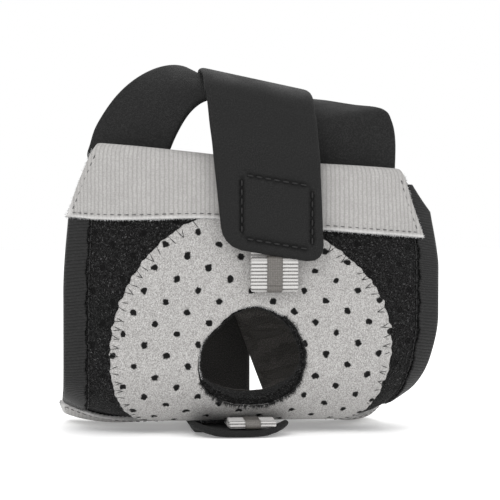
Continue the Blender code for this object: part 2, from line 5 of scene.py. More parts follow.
import bpy
import numpy as np
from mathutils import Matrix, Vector


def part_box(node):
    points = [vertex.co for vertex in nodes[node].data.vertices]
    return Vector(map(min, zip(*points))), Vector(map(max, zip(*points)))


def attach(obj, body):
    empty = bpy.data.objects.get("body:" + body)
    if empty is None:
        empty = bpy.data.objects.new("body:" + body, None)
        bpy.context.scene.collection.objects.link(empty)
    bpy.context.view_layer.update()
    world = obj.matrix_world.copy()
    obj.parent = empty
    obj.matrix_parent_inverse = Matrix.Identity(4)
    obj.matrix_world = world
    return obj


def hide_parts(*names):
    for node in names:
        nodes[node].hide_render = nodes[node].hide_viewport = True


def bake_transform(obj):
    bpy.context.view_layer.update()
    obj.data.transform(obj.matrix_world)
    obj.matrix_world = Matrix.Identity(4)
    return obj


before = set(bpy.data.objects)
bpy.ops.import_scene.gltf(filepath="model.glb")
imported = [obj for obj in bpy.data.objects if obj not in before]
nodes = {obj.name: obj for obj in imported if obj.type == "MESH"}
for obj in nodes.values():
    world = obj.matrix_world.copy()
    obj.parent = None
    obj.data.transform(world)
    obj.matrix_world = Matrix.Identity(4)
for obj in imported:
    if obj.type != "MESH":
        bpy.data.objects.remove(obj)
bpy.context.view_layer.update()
MM = 0.001

# ---------------- sizes of the panel
PANEL_LENGTH = 0.1150
PANEL_HALF_WIDTH = 0.0560
PANEL_FLAT_HALF = 0.0250     # flat in the middle, then bent back about the wrist
PLAN_RADIUS = 0.0395
CURL_START = 0.0586          # down the cloth, where the bottom starts to curl back
CURL_RADIUS = 0.0180
CORNER_LIFT = 0.0060
CORNER_DROOP = 0.0062
TOP_SLANT = 0.080
TOP_DIP, STRAP_DIP = 0.0017, 0.0010       # the top edge's sag, and more of it under the strap
LEFT_SAG, STRAP_RISE = 0.0021, 0.0007     # the trim's lower edge falls at the left and rises
RIGHT_BULGE, RIGHT_TUCK = 0.0030, 0.0128  # the right edge stands out, then tucks in below
LEFT_PINCH = 0.0018
TOP_LEFT, TOP_RIGHT = 0.0458, 0.0459      # half widths at the four trimmed corners
BOTTOM_LEFT, BOTTOM_RIGHT = 0.0535, 0.0490
RIGHT_FLARE = 0.0115         # the top right corner widens over this length
HOLE_RADIUS = 0.0148
PATCH_RADIUS = 0.0405
TRIM_WIDTH = 0.0200
TRIM_BACK_LEG = 0.0100
BASE_Z = 0.0038
HOLE_S = PANEL_LENGTH / 2
PATCH_HALF_HEIGHT = HOLE_S - TRIM_WIDTH + 0.0015    # it runs a little way under both trims
CURL_Z = BASE_Z + CURL_RADIUS
TOP_Z = CURL_Z + CURL_START

COVER = 0.0009               # pile
CORE = 0.0026                # foam
LINING = 0.0006
PANEL_THICKNESS = COVER + CORE + LINING
PATCH = 0.0008
TRIM = 0.0011

PERFORATION_PITCH = 0.0068
PERFORATION_TURN = math.radians(26.3)
PERFORATION_RADIUS = 0.00098
PERFORATION_PHASE = (0.235, 0.452)
SCALLOPS = 64
RIB_PITCH = 0.00128
THREAD_PITCH = 0.00088
WEB_PITCH = 0.00100
FINE_WEB_PITCH = 0.00062
INNER_FACE = -0.002          # third cloth coordinate on a sheet's inner face

rng = np.random.default_rng(7)


# ---------------- the panel's surface
def smooth(t):
    t = np.clip(t, 0, 1)
    return t * t * (3 - 2 * t)


def ease(value, start, end):
    """0 up to start, 1 from end on, smooth between them."""
    return smooth((value - start) / (end - start))


def hump(value, middle, width):
    return np.exp(-((value - middle) / width) ** 2)


def panel_point(u, s):
    """Points of the panel's outer face: u runs across the cloth and s down it."""
    u, s = np.broadcast_arrays(np.asarray(u, float), np.asarray(s, float))
    over = np.maximum(np.abs(u) - PANEL_FLAT_HALF, 0)
    turn = over / PLAN_RADIUS
    x = np.where(over > 0, np.sign(u) * (PANEL_FLAT_HALF + PLAN_RADIUS * np.sin(turn)), u)
    curl_end = CURL_START + CURL_RADIUS * math.pi / 2
    tilt = np.clip((s - CURL_START) / CURL_RADIUS, 0, math.pi / 2)
    y = (PLAN_RADIUS * (1 - np.cos(turn)) + CURL_RADIUS * (1 - np.cos(tilt))
         + np.maximum(s - curl_end, 0))
    z = np.where(s < CURL_START, TOP_Z - s, CURL_Z - CURL_RADIUS * np.sin(tilt))
    reach = over / (PANEL_HALF_WIDTH - PANEL_FLAT_HALF)
    z = z + CORNER_LIFT * reach ** 2 * ease(s, CURL_START, curl_end)
    z = z - CORNER_DROOP * reach ** 0.7 * ease(s, 0.083, 0.113)
    bulge = RIGHT_BULGE * ease(s, 0.004, 0.030) - RIGHT_TUCK * ease(s, 0.046, 0.092)
    pinch = LEFT_PINCH * (1 - ease(s, 0.012, 0.040))
    x = x + reach ** 1.5 * np.where(u > 0, bulge, pinch)
    z = z - TOP_SLANT * x * (1 - ease(s, TRIM_WIDTH, HOLE_S - HOLE_RADIUS))
    dip = TOP_DIP + STRAP_DIP * hump(x, 0.006, 0.028)
    sag = LEFT_SAG * ease(-x, 0.012, 0.046) - STRAP_RISE * hump(x, -0.008, 0.014)
    z = z - dip * (1 - ease(s, 0.002, 0.021)) - sag * hump(s, TRIM_WIDTH, 0.011)
    return np.stack([x, y, z], -1)


def panel(u, s, n=0.0):
    """panel_point moved out of the face by n."""
    step = 0.0002
    across = panel_point(u + step, s) - panel_point(u - step, s)
    down = panel_point(u, s + step) - panel_point(u, s - step)
    normal = -np.cross(across, down)
    normal /= np.linalg.norm(normal, axis=-1, keepdims=True)
    return panel_point(u, s) + np.asarray(n)[..., None] * normal


def half_width(s, side):
    """From the panel's middle to its edge on one side (-1 left, 1 right)."""
    top = np.where(side < 0, TOP_LEFT, TOP_RIGHT)
    bottom = np.where(side < 0, BOTTOM_LEFT, BOTTOM_RIGHT)
    from_top = np.clip(s / np.where(side < 0, TRIM_WIDTH, RIGHT_FLARE), 0, 1)
    from_bottom = np.clip((PANEL_LENGTH - s) / TRIM_WIDTH, 0, 1)
    return PANEL_HALF_WIDTH - ((PANEL_HALF_WIDTH - top) * (1 - from_top)
                               + (PANEL_HALF_WIDTH - bottom) * (1 - from_bottom))


def perforation(u, s):
    """Distance from each cloth point to the nearest perforation's middle."""
    c, d = math.cos(PERFORATION_TURN), math.sin(PERFORATION_TURN)
    p = (u * c + (s - HOLE_S) * d) / PERFORATION_PITCH + PERFORATION_PHASE[0]
    q = (-u * d + (s - HOLE_S) * c) / PERFORATION_PITCH + PERFORATION_PHASE[1]
    p = p - np.round(p)
    q = q - np.round(q)
    return np.hypot(p, q) * PERFORATION_PITCH


# ---------------- mesh building
def spread(*parts):
    """Grids of any broadcastable shapes, stacked as the last axis."""
    return np.stack(np.broadcast_arrays(*parts), -1)


def run_along(points):
    """Length run from the first point to each point."""
    return np.concatenate([[0], np.cumsum(np.linalg.norm(np.diff(points, axis=0), axis=-1))])


def link(name, vertices, faces, material, cloth=None):
    """A smooth-shaded object from plain lists, with each point's place on its cloth in mm."""
    mesh = bpy.data.meshes.new(name)
    mesh.from_pydata(np.asarray(vertices).tolist(), [], faces)
    mesh.update()
    mesh.polygons.foreach_set("use_smooth", [True] * len(mesh.polygons))
    if cloth is not None:
        layer = mesh.attributes.new("cloth", "FLOAT_VECTOR", "POINT")
        layer.data.foreach_set("vector", np.asarray(cloth, np.float32).ravel())
    mesh.materials.append(material)
    obj = bpy.data.objects.new(name, mesh)
    bpy.context.scene.collection.objects.link(obj)
    return obj


def slab_faces(rows, cols, wrap):
    """Quads of two stacked grids and of the rims between them; wrap joins the last row on."""
    r = np.arange(rows if wrap else rows - 1)
    c = np.arange(cols - 1)
    rr, cc = np.meshgrid(r, c, indexing="ij")
    a, b = rr * cols + cc, (rr + 1) % rows * cols + cc
    block, edge, end = rows * cols, cols - 1, (rows - 1) * cols
    near, far = r * cols, (r + 1) % rows * cols
    quads = [(a, b, b + 1, a + 1),
             (a + block, a + 1 + block, b + 1 + block, b + block),
             (near, near + block, far + block, far),
             (near + edge, far + edge, far + edge + block, near + edge + block)]
    if not wrap:
        quads += [(c, c + 1, c + 1 + block, c + block),
                  (end + c, end + c + block, end + c + 1 + block, end + c + 1)]
    return np.concatenate([np.stack(quad, -1).reshape(-1, 4) for quad in quads]).tolist()


def unit(v):
    return v / np.maximum(np.linalg.norm(v, axis=-1, keepdims=True), 1e-12)


def grid_normals(mid, wrap):
    if wrap:
        along = np.roll(mid, -1, 0) - np.roll(mid, 1, 0)
    else:
        along = np.gradient(mid, axis=0)
    return unit(np.cross(along, np.gradient(mid, axis=1)))


def edge_distance(mid, wrap):
    """Distance of each grid point to the sheet's nearest edge, along the cloth."""
    across = np.linalg.norm(np.diff(mid, axis=1), axis=-1)
    run = np.concatenate([np.zeros((len(mid), 1)), np.cumsum(across, 1)], 1)
    found = np.minimum(run, run[:, -1:] - run)
    if not wrap:
        along = np.linalg.norm(np.diff(mid, axis=0), axis=-1)
        lie = np.concatenate([np.zeros((1, mid.shape[1])), np.cumsum(along, 0)], 0)
        found = np.minimum(found, np.minimum(lie, lie[-1:] - lie))
    return found


def rounding(distance, radius):
    share = np.clip(distance / radius, 0, 1)
    return np.maximum(np.sqrt(1 - (1 - share) ** 2), 0.06)


def soft_sheet(name, mid, thickness, material, wrap=False, radius=None, relief=0.0, cloth=None,
               flip=False, painted_groove_shade=0.0):
    """A closed sheet with rounded edges about a grid of points; relief raises its outer face.

    A cloth point is (across, along, layer): the layer is INNER_FACE on the inner face, and on
    the outer face it is 0, or up to 1 mm where a seam presses the cloth in; there the neoprene
    lays painted shade in the groove."""
    normal = grid_normals(mid, wrap) * (-1 if flip else 1)
    round_off = rounding(edge_distance(mid, wrap), radius or thickness / 2)
    half = thickness / 2 * round_off
    outer = mid + normal * (half + relief * round_off)[..., None]
    inner = mid - normal * half[..., None]
    rows, cols = mid.shape[:2]
    if cloth is None:
        across = np.linalg.norm(np.diff(mid, axis=1), axis=-1).mean(0)
        along = np.linalg.norm(np.diff(mid, axis=0), axis=-1).mean(1)
        cloth = spread(np.concatenate([[0], np.cumsum(across)]),
                       np.concatenate([[0], np.cumsum(along)])[:, None])
    flat = np.zeros((2, rows, cols, 3))
    flat[:, :, :, :2] = cloth
    flat[0, :, :, 2] = painted_groove_shade * MM
    flat[1, :, :, 2] = INNER_FACE
    faces = slab_faces(rows, cols, wrap)
    if flip:
        faces = [face[::-1] for face in faces]
    points = np.concatenate([outer.reshape(-1, 3), inner.reshape(-1, 3)])
    return link(name, points, faces, material, flat.reshape(-1, 3) / MM)


def stations(count, length, radius):
    """0 to 1, even, with extra ones where the ends round off."""
    close = np.array([0, 0.12, 0.35, 0.65, 1.0]) * radius / length
    return np.concatenate([close, np.linspace(close[-1], 1 - close[-1], count)[1:-1],
                           1 - close[::-1]])


def curve_through(points, count):
    """Points evenly along a smooth curve through the given ones."""
    points = np.asarray(points, float)
    padded = np.concatenate([[2 * points[0] - points[1]], points, [2 * points[-1] - points[-2]]])
    position = np.linspace(0, len(points) - 1, count)
    i = np.minimum(position.astype(int), len(points) - 2)
    t = (position - i)[:, None]
    a, b, c, d = padded[i], padded[i + 1], padded[i + 2], padded[i + 3]
    return 0.5 * (2 * b + (c - a) * t + (2 * a - 5 * b + 4 * c - d) * t ** 2
                  + (3 * b - a - 3 * c + d) * t ** 3)


def repeat_faces(pattern, count, size):
    """One small mesh's faces, repeated for each of its copies of size points."""
    return [tuple(k * size + v for v in face) for k in range(count) for face in pattern]


def joined(rows):
    """Rows of (starts, ends, normals) as one."""
    return (np.concatenate(part) for part in zip(*rows))


def capsules(name, starts, ends, normals, width, height, material):
    """Short stitches, each a rounded bar from a start to an end, lying on a face."""
    starts, ends, normals = (np.asarray(v, float) for v in (starts, ends, normals))
    along = unit(ends - starts)
    across = unit(np.cross(along, normals)) * width / 2
    length = np.linalg.norm(ends - starts, axis=-1, keepdims=True)
    rings = []
    for share, size in ((0, 0.25), (0.12, 0.8), (0.5, 1.0), (0.88, 0.8), (1, 0.25)):
        centre = starts + along * length * share + normals * height * 0.15 * size
        for turn in np.linspace(0, 2 * math.pi, 7)[:-1]:
            rings.append(centre + across * size * math.cos(turn)
                         + normals * height * 0.5 * size * math.sin(turn))
    points = np.stack(rings, 1).reshape(-1, 3)
    pattern = [(r + j, r + (j + 1) % 6, r + 6 + (j + 1) % 6, r + 6 + j)
               for r in range(0, 24, 6) for j in range(6)]
    pattern += [tuple(range(5, -1, -1)), tuple(range(24, 30))]
    return link(name, points, repeat_faces(pattern, len(starts), 30), material)


def stitched_line(points, normals, pitch, length):
    """Starts, ends and normals of stitches along a line of points."""
    points, normals = np.asarray(points, float), np.asarray(normals, float)
    run = run_along(points)
    count = max(int(run[-1] / pitch), 1)
    middles = (np.arange(count) + 0.5) * run[-1] / count

    def at(where, values):
        return np.stack([np.interp(where, run, values[:, k]) for k in range(3)], -1)

    return (at(middles - length / 2, points), at(middles + length / 2, points),
            unit(at(middles, normals)))


# ---------------- materials
class Cloth:
    """A procedural cloth: colour, roughness and bump from the cloth's own coordinates in mm."""

    def __init__(self, name, roughness, sheen=0.0, sheen_roughness=0.5, specular=0.3):
        self.material = bpy.data.materials.new(name)
        self.material.use_nodes = True
        self.tree = self.material.node_tree
        self.shader = self.tree.nodes["Principled BSDF"]
        self.shader.inputs["Roughness"].default_value = roughness
        self.shader.inputs["Sheen Weight"].default_value = sheen
        self.shader.inputs["Sheen Roughness"].default_value = sheen_roughness
        self.shader.inputs["Specular IOR Level"].default_value = specular
        self.at = self.node("ShaderNodeAttribute", attribute_name="cloth").outputs["Vector"]
        self.colour = None

    def node(self, kind, *values, **settings):
        """A new node, its settings, and values or links for its first inputs."""
        made = self.tree.nodes.new(kind)
        for key, value in settings.items():
            setattr(made, key, value)
        for socket, value in zip(made.inputs, values):
            self.put(socket, value)
        return made

    def put(self, socket, value):
        if isinstance(value, bpy.types.NodeSocket):
            self.tree.links.new(value, socket)
        else:
            socket.default_value = value

    def math(self, operation, *values):
        return self.node("ShaderNodeMath", *values, operation=operation).outputs[0]

    def plus(self, a, b):
        return self.math("ADD", a, b)

    def times(self, a, b):
        return self.math("MULTIPLY", a, b)

    def scaled(self, by):
        return self.node("ShaderNodeVectorMath", self.at, by, operation="MULTIPLY").outputs[0]

    def split(self):
        return self.node("ShaderNodeSeparateXYZ", self.at).outputs

    def in_object_space(self):
        """For a piece that has no cloth coordinates of its own."""
        self.at = self.node("ShaderNodeTexCoord").outputs["Object"]
        self.at = self.scaled((1 / MM, 1 / MM, 1 / MM))

    def noise(self, scale, detail=2.0, stretch=(1, 1, 1), distortion=0.0):
        made = self.node("ShaderNodeTexNoise", self.scaled(stretch))
        for key, value in (("Scale", scale), ("Detail", detail), ("Distortion", distortion)):
            made.inputs[key].default_value = value
        return made.outputs["Fac"]

    def cells(self, scale):
        made = self.node("ShaderNodeTexVoronoi", self.scaled((1, 1, 1)))
        made.inputs["Scale"].default_value = scale
        return made.outputs["Distance"]

    def wave(self, coordinate, pitch):
        """A sine from 0 to 1 along one coordinate in mm."""
        turned = self.math("MULTIPLY_ADD", coordinate, 2 * math.pi / pitch, 0.0)
        return self.math("MULTIPLY_ADD", self.math("SINE", turned), 0.5, 0.5)

    def ramp(self, value, low, high, to_low=0.0, to_high=1.0):
        return self.node("ShaderNodeMapRange", value, low, high, to_low, to_high,
                         interpolation_type="SMOOTHSTEP").outputs[0]

    def mix(self, factor, a, b):
        made = self.node("ShaderNodeMix", factor, data_type="RGBA")
        self.put(made.inputs[6], a)
        self.put(made.inputs[7], b)
        return made.outputs[2]

    def tint(self, factor, shade):
        """Lays a shade over the colour so far."""
        self.colour = self.mix(factor, self.colour, shade)

    def perforations(self):
        """1 in a perforation and 0 on the cloth."""
        c, d = math.cos(PERFORATION_TURN), math.sin(PERFORATION_TURN)
        x, y, _ = self.split()
        y = self.math("SUBTRACT", y, HOLE_S / MM)
        pitch = PERFORATION_PITCH / MM
        far = 0.0
        for across, down, phase in ((c, d, PERFORATION_PHASE[0]), (-d, c, PERFORATION_PHASE[1])):
            place = self.math("MULTIPLY_ADD", x, across / pitch,
                              self.math("MULTIPLY_ADD", y, down / pitch, phase + 100.5))
            place = self.math("SUBTRACT", self.math("FRACT", place), 0.5)
            far = self.math("MULTIPLY_ADD", place, place, far)
        wobble = self.math("MULTIPLY_ADD", self.noise(0.9, 2.0), 0.20, -0.10)
        size = PERFORATION_RADIUS / PERFORATION_PITCH
        return self.ramp(self.plus(self.math("SQRT", far), wobble), size * 0.78, size * 1.12,
                         1.0, 0.0)

    def finish(self, bump, distance, strength, roughness=None):
        self.put(self.shader.inputs["Base Color"], self.colour)
        if roughness is not None:
            self.put(self.shader.inputs["Roughness"], roughness)
        made = self.node("ShaderNodeBump")
        made.inputs["Distance"].default_value = distance
        made.inputs["Strength"].default_value = strength
        self.put(made.inputs["Height"], bump)
        self.put(self.shader.inputs["Normal"], made.outputs[0])
        return self.material


def grey(value, warm=0.0):
    return (value * (1 + warm), value, value * (1 - warm), 1)


def make_pile():
    cloth = Cloth("pile_black", 0.85, sheen=0.02, specular=0.12)
    loops = cloth.cells(1.9)
    fine = cloth.noise(1.8, 4.0, distortion=0.8)
    holes = cloth.perforations()
    patchy = cloth.ramp(cloth.noise(0.35, 2.0), 0.3, 0.7)
    cloth.colour = cloth.mix(patchy, grey(0.0011), grey(0.0024))
    cloth.tint(cloth.ramp(fine, 0.46, 0.60), grey(0.0135))
    # painted highlight: bright glints scattered over the pile's loops
    cloth.tint(cloth.ramp(cloth.noise(2.2, 3.0, distortion=1.2), 0.60, 0.68), grey(0.085))
    cloth.tint(cloth.times(holes, 0.9), grey(0.0015))
    height = cloth.plus(cloth.times(loops, -0.8), fine)
    return cloth.finish(cloth.math("SUBTRACT", height, cloth.times(holes, 1.6)), 0.0006, 0.9)


def make_fleece():
    cloth = Cloth("fleece_grey", 0.9, sheen=0.08, specular=0.15)
    x, y, _ = cloth.split()
    wander = cloth.times(cloth.noise(0.35, 2.0), 2.2)
    wale = cloth.wave(cloth.plus(cloth.math("MULTIPLY_ADD", y, 0.22, x), wander), 0.62)
    fine = cloth.noise(3.4, 3.0)
    nap = cloth.noise(3.1, 4.0, stretch=(1.2, 0.85, 1), distortion=0.4)
    cloth.colour = cloth.mix(cloth.ramp(nap, 0.35, 0.65), grey(0.22, 0.030), grey(0.43, 0.022))
    cloth.tint(cloth.ramp(cloth.noise(0.16, 2.0), 0.35, 0.65, 0.0, 0.12), grey(0.27, 0.03))
    cloth.tint(cloth.times(wale, 0.30), grey(0.27, 0.03))
    cloth.tint(cloth.ramp(fine, 0.50, 0.70, 0.0, 0.55), grey(0.66, 0.01))
    cloth.tint(cloth.perforations(), grey(0.0045))
    return cloth.finish(cloth.plus(fine, cloth.times(nap, 0.8)), 0.00025, 0.55)


def make_trim():
    cloth = Cloth("trim_grey", 0.85, sheen=0.06, specular=0.15)
    x, y, _ = cloth.split()
    uneven = cloth.math("MULTIPLY_ADD", cloth.noise(0.5), 0.5, x)
    rib = cloth.ramp(cloth.wave(uneven, RIB_PITCH / MM), 0.02, 0.55)
    fringe = cloth.math("MAXIMUM", cloth.ramp(y, 18.7, 19.7),
                        cloth.ramp(cloth.math("ABSOLUTE", x), 53.2, 55.0))
    grain = cloth.ramp(cloth.noise(2.3, 3.0), 0.38, 0.62)
    cross = cloth.wave(cloth.plus(y, cloth.times(cloth.noise(1.0), 0.3)), 0.55)
    fuzz = cloth.noise(4.0, 3.0)
    cloth.colour = cloth.mix(rib, grey(0.262, 0.030), grey(0.365, 0.026))
    cloth.tint(cloth.times(grain, 0.50), grey(0.25, 0.03))
    cloth.tint(cloth.times(fringe, 0.6), grey(0.66, 0.01))
    cloth.tint(cloth.ramp(fuzz, 0.4, 0.75, 0.0, 0.4), grey(0.55, 0.01))
    cloth.tint(cloth.ramp(cloth.noise(0.25), 0.35, 0.65, 0.0, 0.2), grey(0.25, 0.03))
    return cloth.finish(cloth.plus(cloth.times(cross, 0.10), fuzz), 0.0002, 0.6)


def make_neoprene(name="neoprene_black", level=0.0088, warm=0.0, wrinkles_with_painted_shade=False):
    cloth = Cloth(name, 0.72, sheen=0.02, sheen_roughness=0.45, specular=0.15)
    x, y, groove_darkening = cloth.split()
    knit = cloth.times(cloth.wave(x, 0.42), cloth.wave(y, 0.36))
    fine = cloth.noise(3.2, 3.0)
    pale_specks = cloth.ramp(cloth.noise(1.9, 2.0, distortion=1.0), 0.70, 0.78)
    broad = cloth.ramp(cloth.noise(0.11, 2.0), 0.3, 0.7)
    cloth.colour = cloth.mix(broad, grey(level * 0.78, warm), grey(level * 1.2, warm))
    cloth.tint(cloth.ramp(fine, 0.42, 0.66, 0.0, 0.8), grey(level * 2.4, warm))
    # pale specks scattered over the cloth
    cloth.tint(cloth.times(pale_specks, 0.30), grey(level * 5))
    # painted shade in the seam grooves, weighted by the cloth's third coordinate
    cloth.tint(cloth.ramp(groove_darkening, 0.05, 0.95), grey(0.0012))
    height = cloth.plus(cloth.times(knit, 0.5), cloth.times(fine, 0.8))
    if wrinkles_with_painted_shade:
        folds = cloth.noise(0.16, 3.0, stretch=(0.6, 2.4, 1), distortion=0.7)
        # painted shade in the folds' hollows and painted highlight on their crests, over the folds'
        # bump
        cloth.tint(cloth.ramp(folds, 0.44, 0.52, 0.0, 0.36), grey(level * 0.35, warm))
        cloth.tint(cloth.ramp(folds, 0.54, 0.64, 0.0, 0.20), grey(level * 2.2, warm))
        height = cloth.plus(height, cloth.times(folds, 6.0))
    return cloth.finish(height, 0.00018, 0.55, cloth.ramp(broad, 0.0, 1.0, 0.66, 0.80))


def make_foam():
    cloth = Cloth("foam_black", 0.95, specular=0.2)
    pores = cloth.cells(3.2)
    fuzz = cloth.noise(2.6, 3.0)
    cloth.colour = cloth.mix(cloth.ramp(fuzz, 0.45, 0.75), grey(0.0060), grey(0.045))
    return cloth.finish(cloth.plus(pores, fuzz), 0.0005, 0.9)


def make_overlock():
    cloth = Cloth("overlock_black", 0.55, sheen=0.02, specular=0.22)
    x, y, _ = cloth.split()
    drift = cloth.math("MULTIPLY_ADD", cloth.noise(0.8, 2.0), 0.55, y)
    thread = cloth.wave(cloth.math("MULTIPLY_ADD", x, 0.10, drift), THREAD_PITCH / MM)
    twist = cloth.wave(cloth.plus(x, y), 0.34)
    cloth.colour = cloth.mix(cloth.ramp(thread, 0.02, 0.40), grey(0.0008), grey(0.0100))
    cloth.tint(cloth.ramp(cloth.noise(1.4), 0.5, 0.8, 0.0, 0.4), grey(0.032))
    return cloth.finish(cloth.plus(thread, cloth.times(twist, 0.25)), 0.00022, 0.7)


def make_webbing(name, pitch):
    cloth = Cloth(name, 0.75, sheen=0.05, specular=0.2)
    x, y, _ = cloth.split()
    rib = cloth.ramp(cloth.wave(y, pitch / MM), 0.0, 0.75)
    fuzz = cloth.noise(3.0, 3.0)
    # painted shade: the colour goes dark in the valleys between the ribs, over the tape's off-white
    # on them
    cloth.colour = cloth.mix(rib, grey(0.10, 0.04), grey(0.52, 0.02))
    cloth.tint(cloth.ramp(fuzz, 0.35, 0.75, 0.0, 0.3), grey(0.58, 0.015))
    return cloth.finish(cloth.plus(cloth.times(cloth.wave(x, 0.62), 0.4), fuzz), 0.00018, 0.6)


def make_reflector():
    cloth = Cloth("reflector_grey", 0.42, specular=0.4)
    x, y, _ = cloth.split()
    cell = cloth.times(cloth.wave(x, 0.5), cloth.wave(y, 0.5))
    fine = cloth.noise(2.2, 3.0)
    cloth.colour = cloth.mix(cloth.ramp(cell, 0.2, 0.8), grey(0.085, 0.08), grey(0.145, 0.07))
    cloth.tint(cloth.ramp(fine, 0.4, 0.7, 0.0, 0.4), grey(0.19, 0.06))
    return cloth.finish(cloth.plus(cell, fine), 0.0001, 0.5)


def make_thread(name, level):
    cloth = Cloth(name, 0.5, specular=0.4)
    cloth.in_object_space()
    fine = cloth.noise(4.0, 2.0)
    cloth.colour = cloth.mix(cloth.ramp(fine, 0.3, 0.7), grey(level * 0.5), grey(level * 1.5))
    return cloth.finish(fine, 0.0001, 0.5)


def make_hook():
    cloth = Cloth("hook_black", 0.45, specular=0.5)
    cloth.in_object_space()
    hooks = cloth.cells(1.5)
    cloth.colour = cloth.mix(cloth.ramp(hooks, 0.1, 0.5), grey(0.045), grey(0.006))
    return cloth.finish(cloth.times(hooks, -1.0), 0.0005, 1.0)


pile = make_pile()
fleece = make_fleece()
trim_cloth = make_trim()
neoprene = make_neoprene()
# The two flap materials are lighter copies of the black neoprene: painted light for the light
# inside the sleeve.
outer_flap_painted_light = make_neoprene("outer_flap_cloth_painted_light", 0.0250, 0.04)
inner_flap_painted_light = make_neoprene("inner_flap_cloth_painted_light", 0.0600, 0.06, wrinkles_with_painted_shade=True)
lining = make_neoprene("lining_brown_black", 0.0130, 0.12)
foam = make_foam()
overlock = make_overlock()
webbing = make_webbing("webbing_white", WEB_PITCH)
fine_webbing = make_webbing("webbing_fine", FINE_WEB_PITCH)
reflector = make_reflector()
black_thread = make_thread("thread_black", 0.010)
grey_thread = make_thread("thread_grey", 0.075)
strap_thread = make_thread("thread_strap", 0.0060)
hook = make_hook()


# ---------------- front panel
def reach_panel(angle, inset):
    """Distance from the opening's middle to the panel's outline, at each angle."""
    shoulder = HOLE_S - TRIM_WIDTH
    corners = [(-TOP_LEFT, HOLE_S), (-PANEL_HALF_WIDTH, shoulder), (-PANEL_HALF_WIDTH, -shoulder),
               (-BOTTOM_LEFT, -HOLE_S), (BOTTOM_RIGHT, -HOLE_S), (PANEL_HALF_WIDTH, -shoulder),
               (PANEL_HALF_WIDTH, HOLE_S - RIGHT_FLARE), (TOP_RIGHT, HOLE_S)]
    found = np.full(np.shape(angle), 1.0)
    for (ax, ay), (bx, by) in zip(corners, corners[1:] + corners[:1]):
        length = math.hypot(bx - ax, by - ay)
        nx, ny = (by - ay) / length, (ax - bx) / length
        outward = 1 if nx * ax + ny * ay > 0 else -1
        facing = outward * (nx * np.cos(angle) + ny * np.sin(angle))
        away = abs(nx * ax + ny * ay) - inset
        found = np.where(facing > 1e-6, np.minimum(found, away / np.maximum(facing, 1e-6)), found)
    return found


def reach_patch(angle):
    scallop = (0.00016 * np.cos(angle * SCALLOPS) * (1 + 0.6 * np.sin(angle * 5))
               + 0.00012 * np.sin(angle * 37) + 0.00010 * np.sin(angle * 101))
    flat = PATCH_HALF_HEIGHT / np.maximum(np.abs(np.sin(angle)), 1e-9)
    return np.minimum(PATCH_RADIUS + scallop, flat)


def hole_edge(angle, depth, patch=False):
    """The opening's radius; the patch is cut back further than the foam, most of all below."""
    radius = HOLE_RADIUS + 0.00010 * np.sin(angle * 9 + 1) + 0.00008 * np.sin(angle * 23)
    egg = (-0.0009 * np.sin(angle) - 0.0017 * hump(angle, 2.36, 0.50)
           + 0.0007 * hump(angle, -2.55, 0.40))
    if patch:
        return radius + egg + 0.0004
    below = ease(-np.sin(angle), 0.1, 1.0)
    right = smooth(np.cos(angle))
    return radius + egg - 0.0001 - 0.0022 * below - 0.0009 * right + depth * 0.10


def ring_piece(name, material, reach, top, bottom, count, rings, round_top, round_bottom,
               dimple=0):
    """A sheet round the opening between two depths of the panel, with its rims rounded."""
    angle = np.linspace(-math.pi, math.pi, count, endpoint=False)[:, None]
    even = np.linspace(0, 1, rings)
    share = np.concatenate([[0, 0.004, 0.012, 0.022], even[1:-1] * 0.956 + 0.022,
                            [0.978, 0.988, 0.996, 1]])[None, :]
    edge = reach(angle)
    faces = []
    for depth, round_off in ((top, round_top), (bottom, -round_bottom)):
        near = hole_edge(angle, -depth, name == "patch")
        radius = near + (edge - near) * share
        u = radius * np.cos(angle)
        s = HOLE_S - radius * np.sin(angle)
        distance = np.minimum(radius - near, edge - radius)
        n = depth - round_off * (1 - rounding(distance, max(abs(round_off), 1e-5)))
        if dimple and depth == top:
            n = n - dimple * smooth(1.25 - perforation(u, s) / PERFORATION_RADIUS)
        faces.append((panel(u, s, n), spread(u, s, depth)))
    (outer, outer_cloth), (inner, inner_cloth) = faces
    points = np.concatenate([outer.reshape(-1, 3), inner.reshape(-1, 3)])
    cloth = np.concatenate([outer_cloth.reshape(-1, 3), inner_cloth.reshape(-1, 3)]) / MM
    order = [face[::-1] for face in slab_faces(*outer.shape[:2], True)]
    return link(name, points, order, material, cloth)


cover_piece = ring_piece("cover", pile, lambda a: reach_panel(a, 0.0006), 0, -COVER, 200, 46,
                         0.0006, 0)
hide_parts("front_pile_cover")
core_piece = ring_piece("foam_core", foam, lambda a: reach_panel(a, 0.0008), -COVER,
                        -COVER - CORE, 160, 30, 0.0002, 0.0002)
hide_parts("front_neoprene")
lining_piece = ring_piece("lining", lining, lambda a: reach_panel(a, 0.0006), -COVER - CORE,
                          -PANEL_THICKNESS, 160, 30, 0, 0.0004)
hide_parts("front_lining")
patch_piece = ring_piece("patch", fleece, reach_patch, PATCH, -0.0001, 420, 58,
                         0.0006, 0, dimple=0.0005)
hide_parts("centre_patch")
for piece in (cover_piece, core_piece, lining_piece, patch_piece):
    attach(piece, "front")


def on_patch(radius, angle, lift):
    """Points above the panel's face, by angle round the opening."""
    return panel(radius * np.cos(angle), HOLE_S - radius * np.sin(angle), lift)


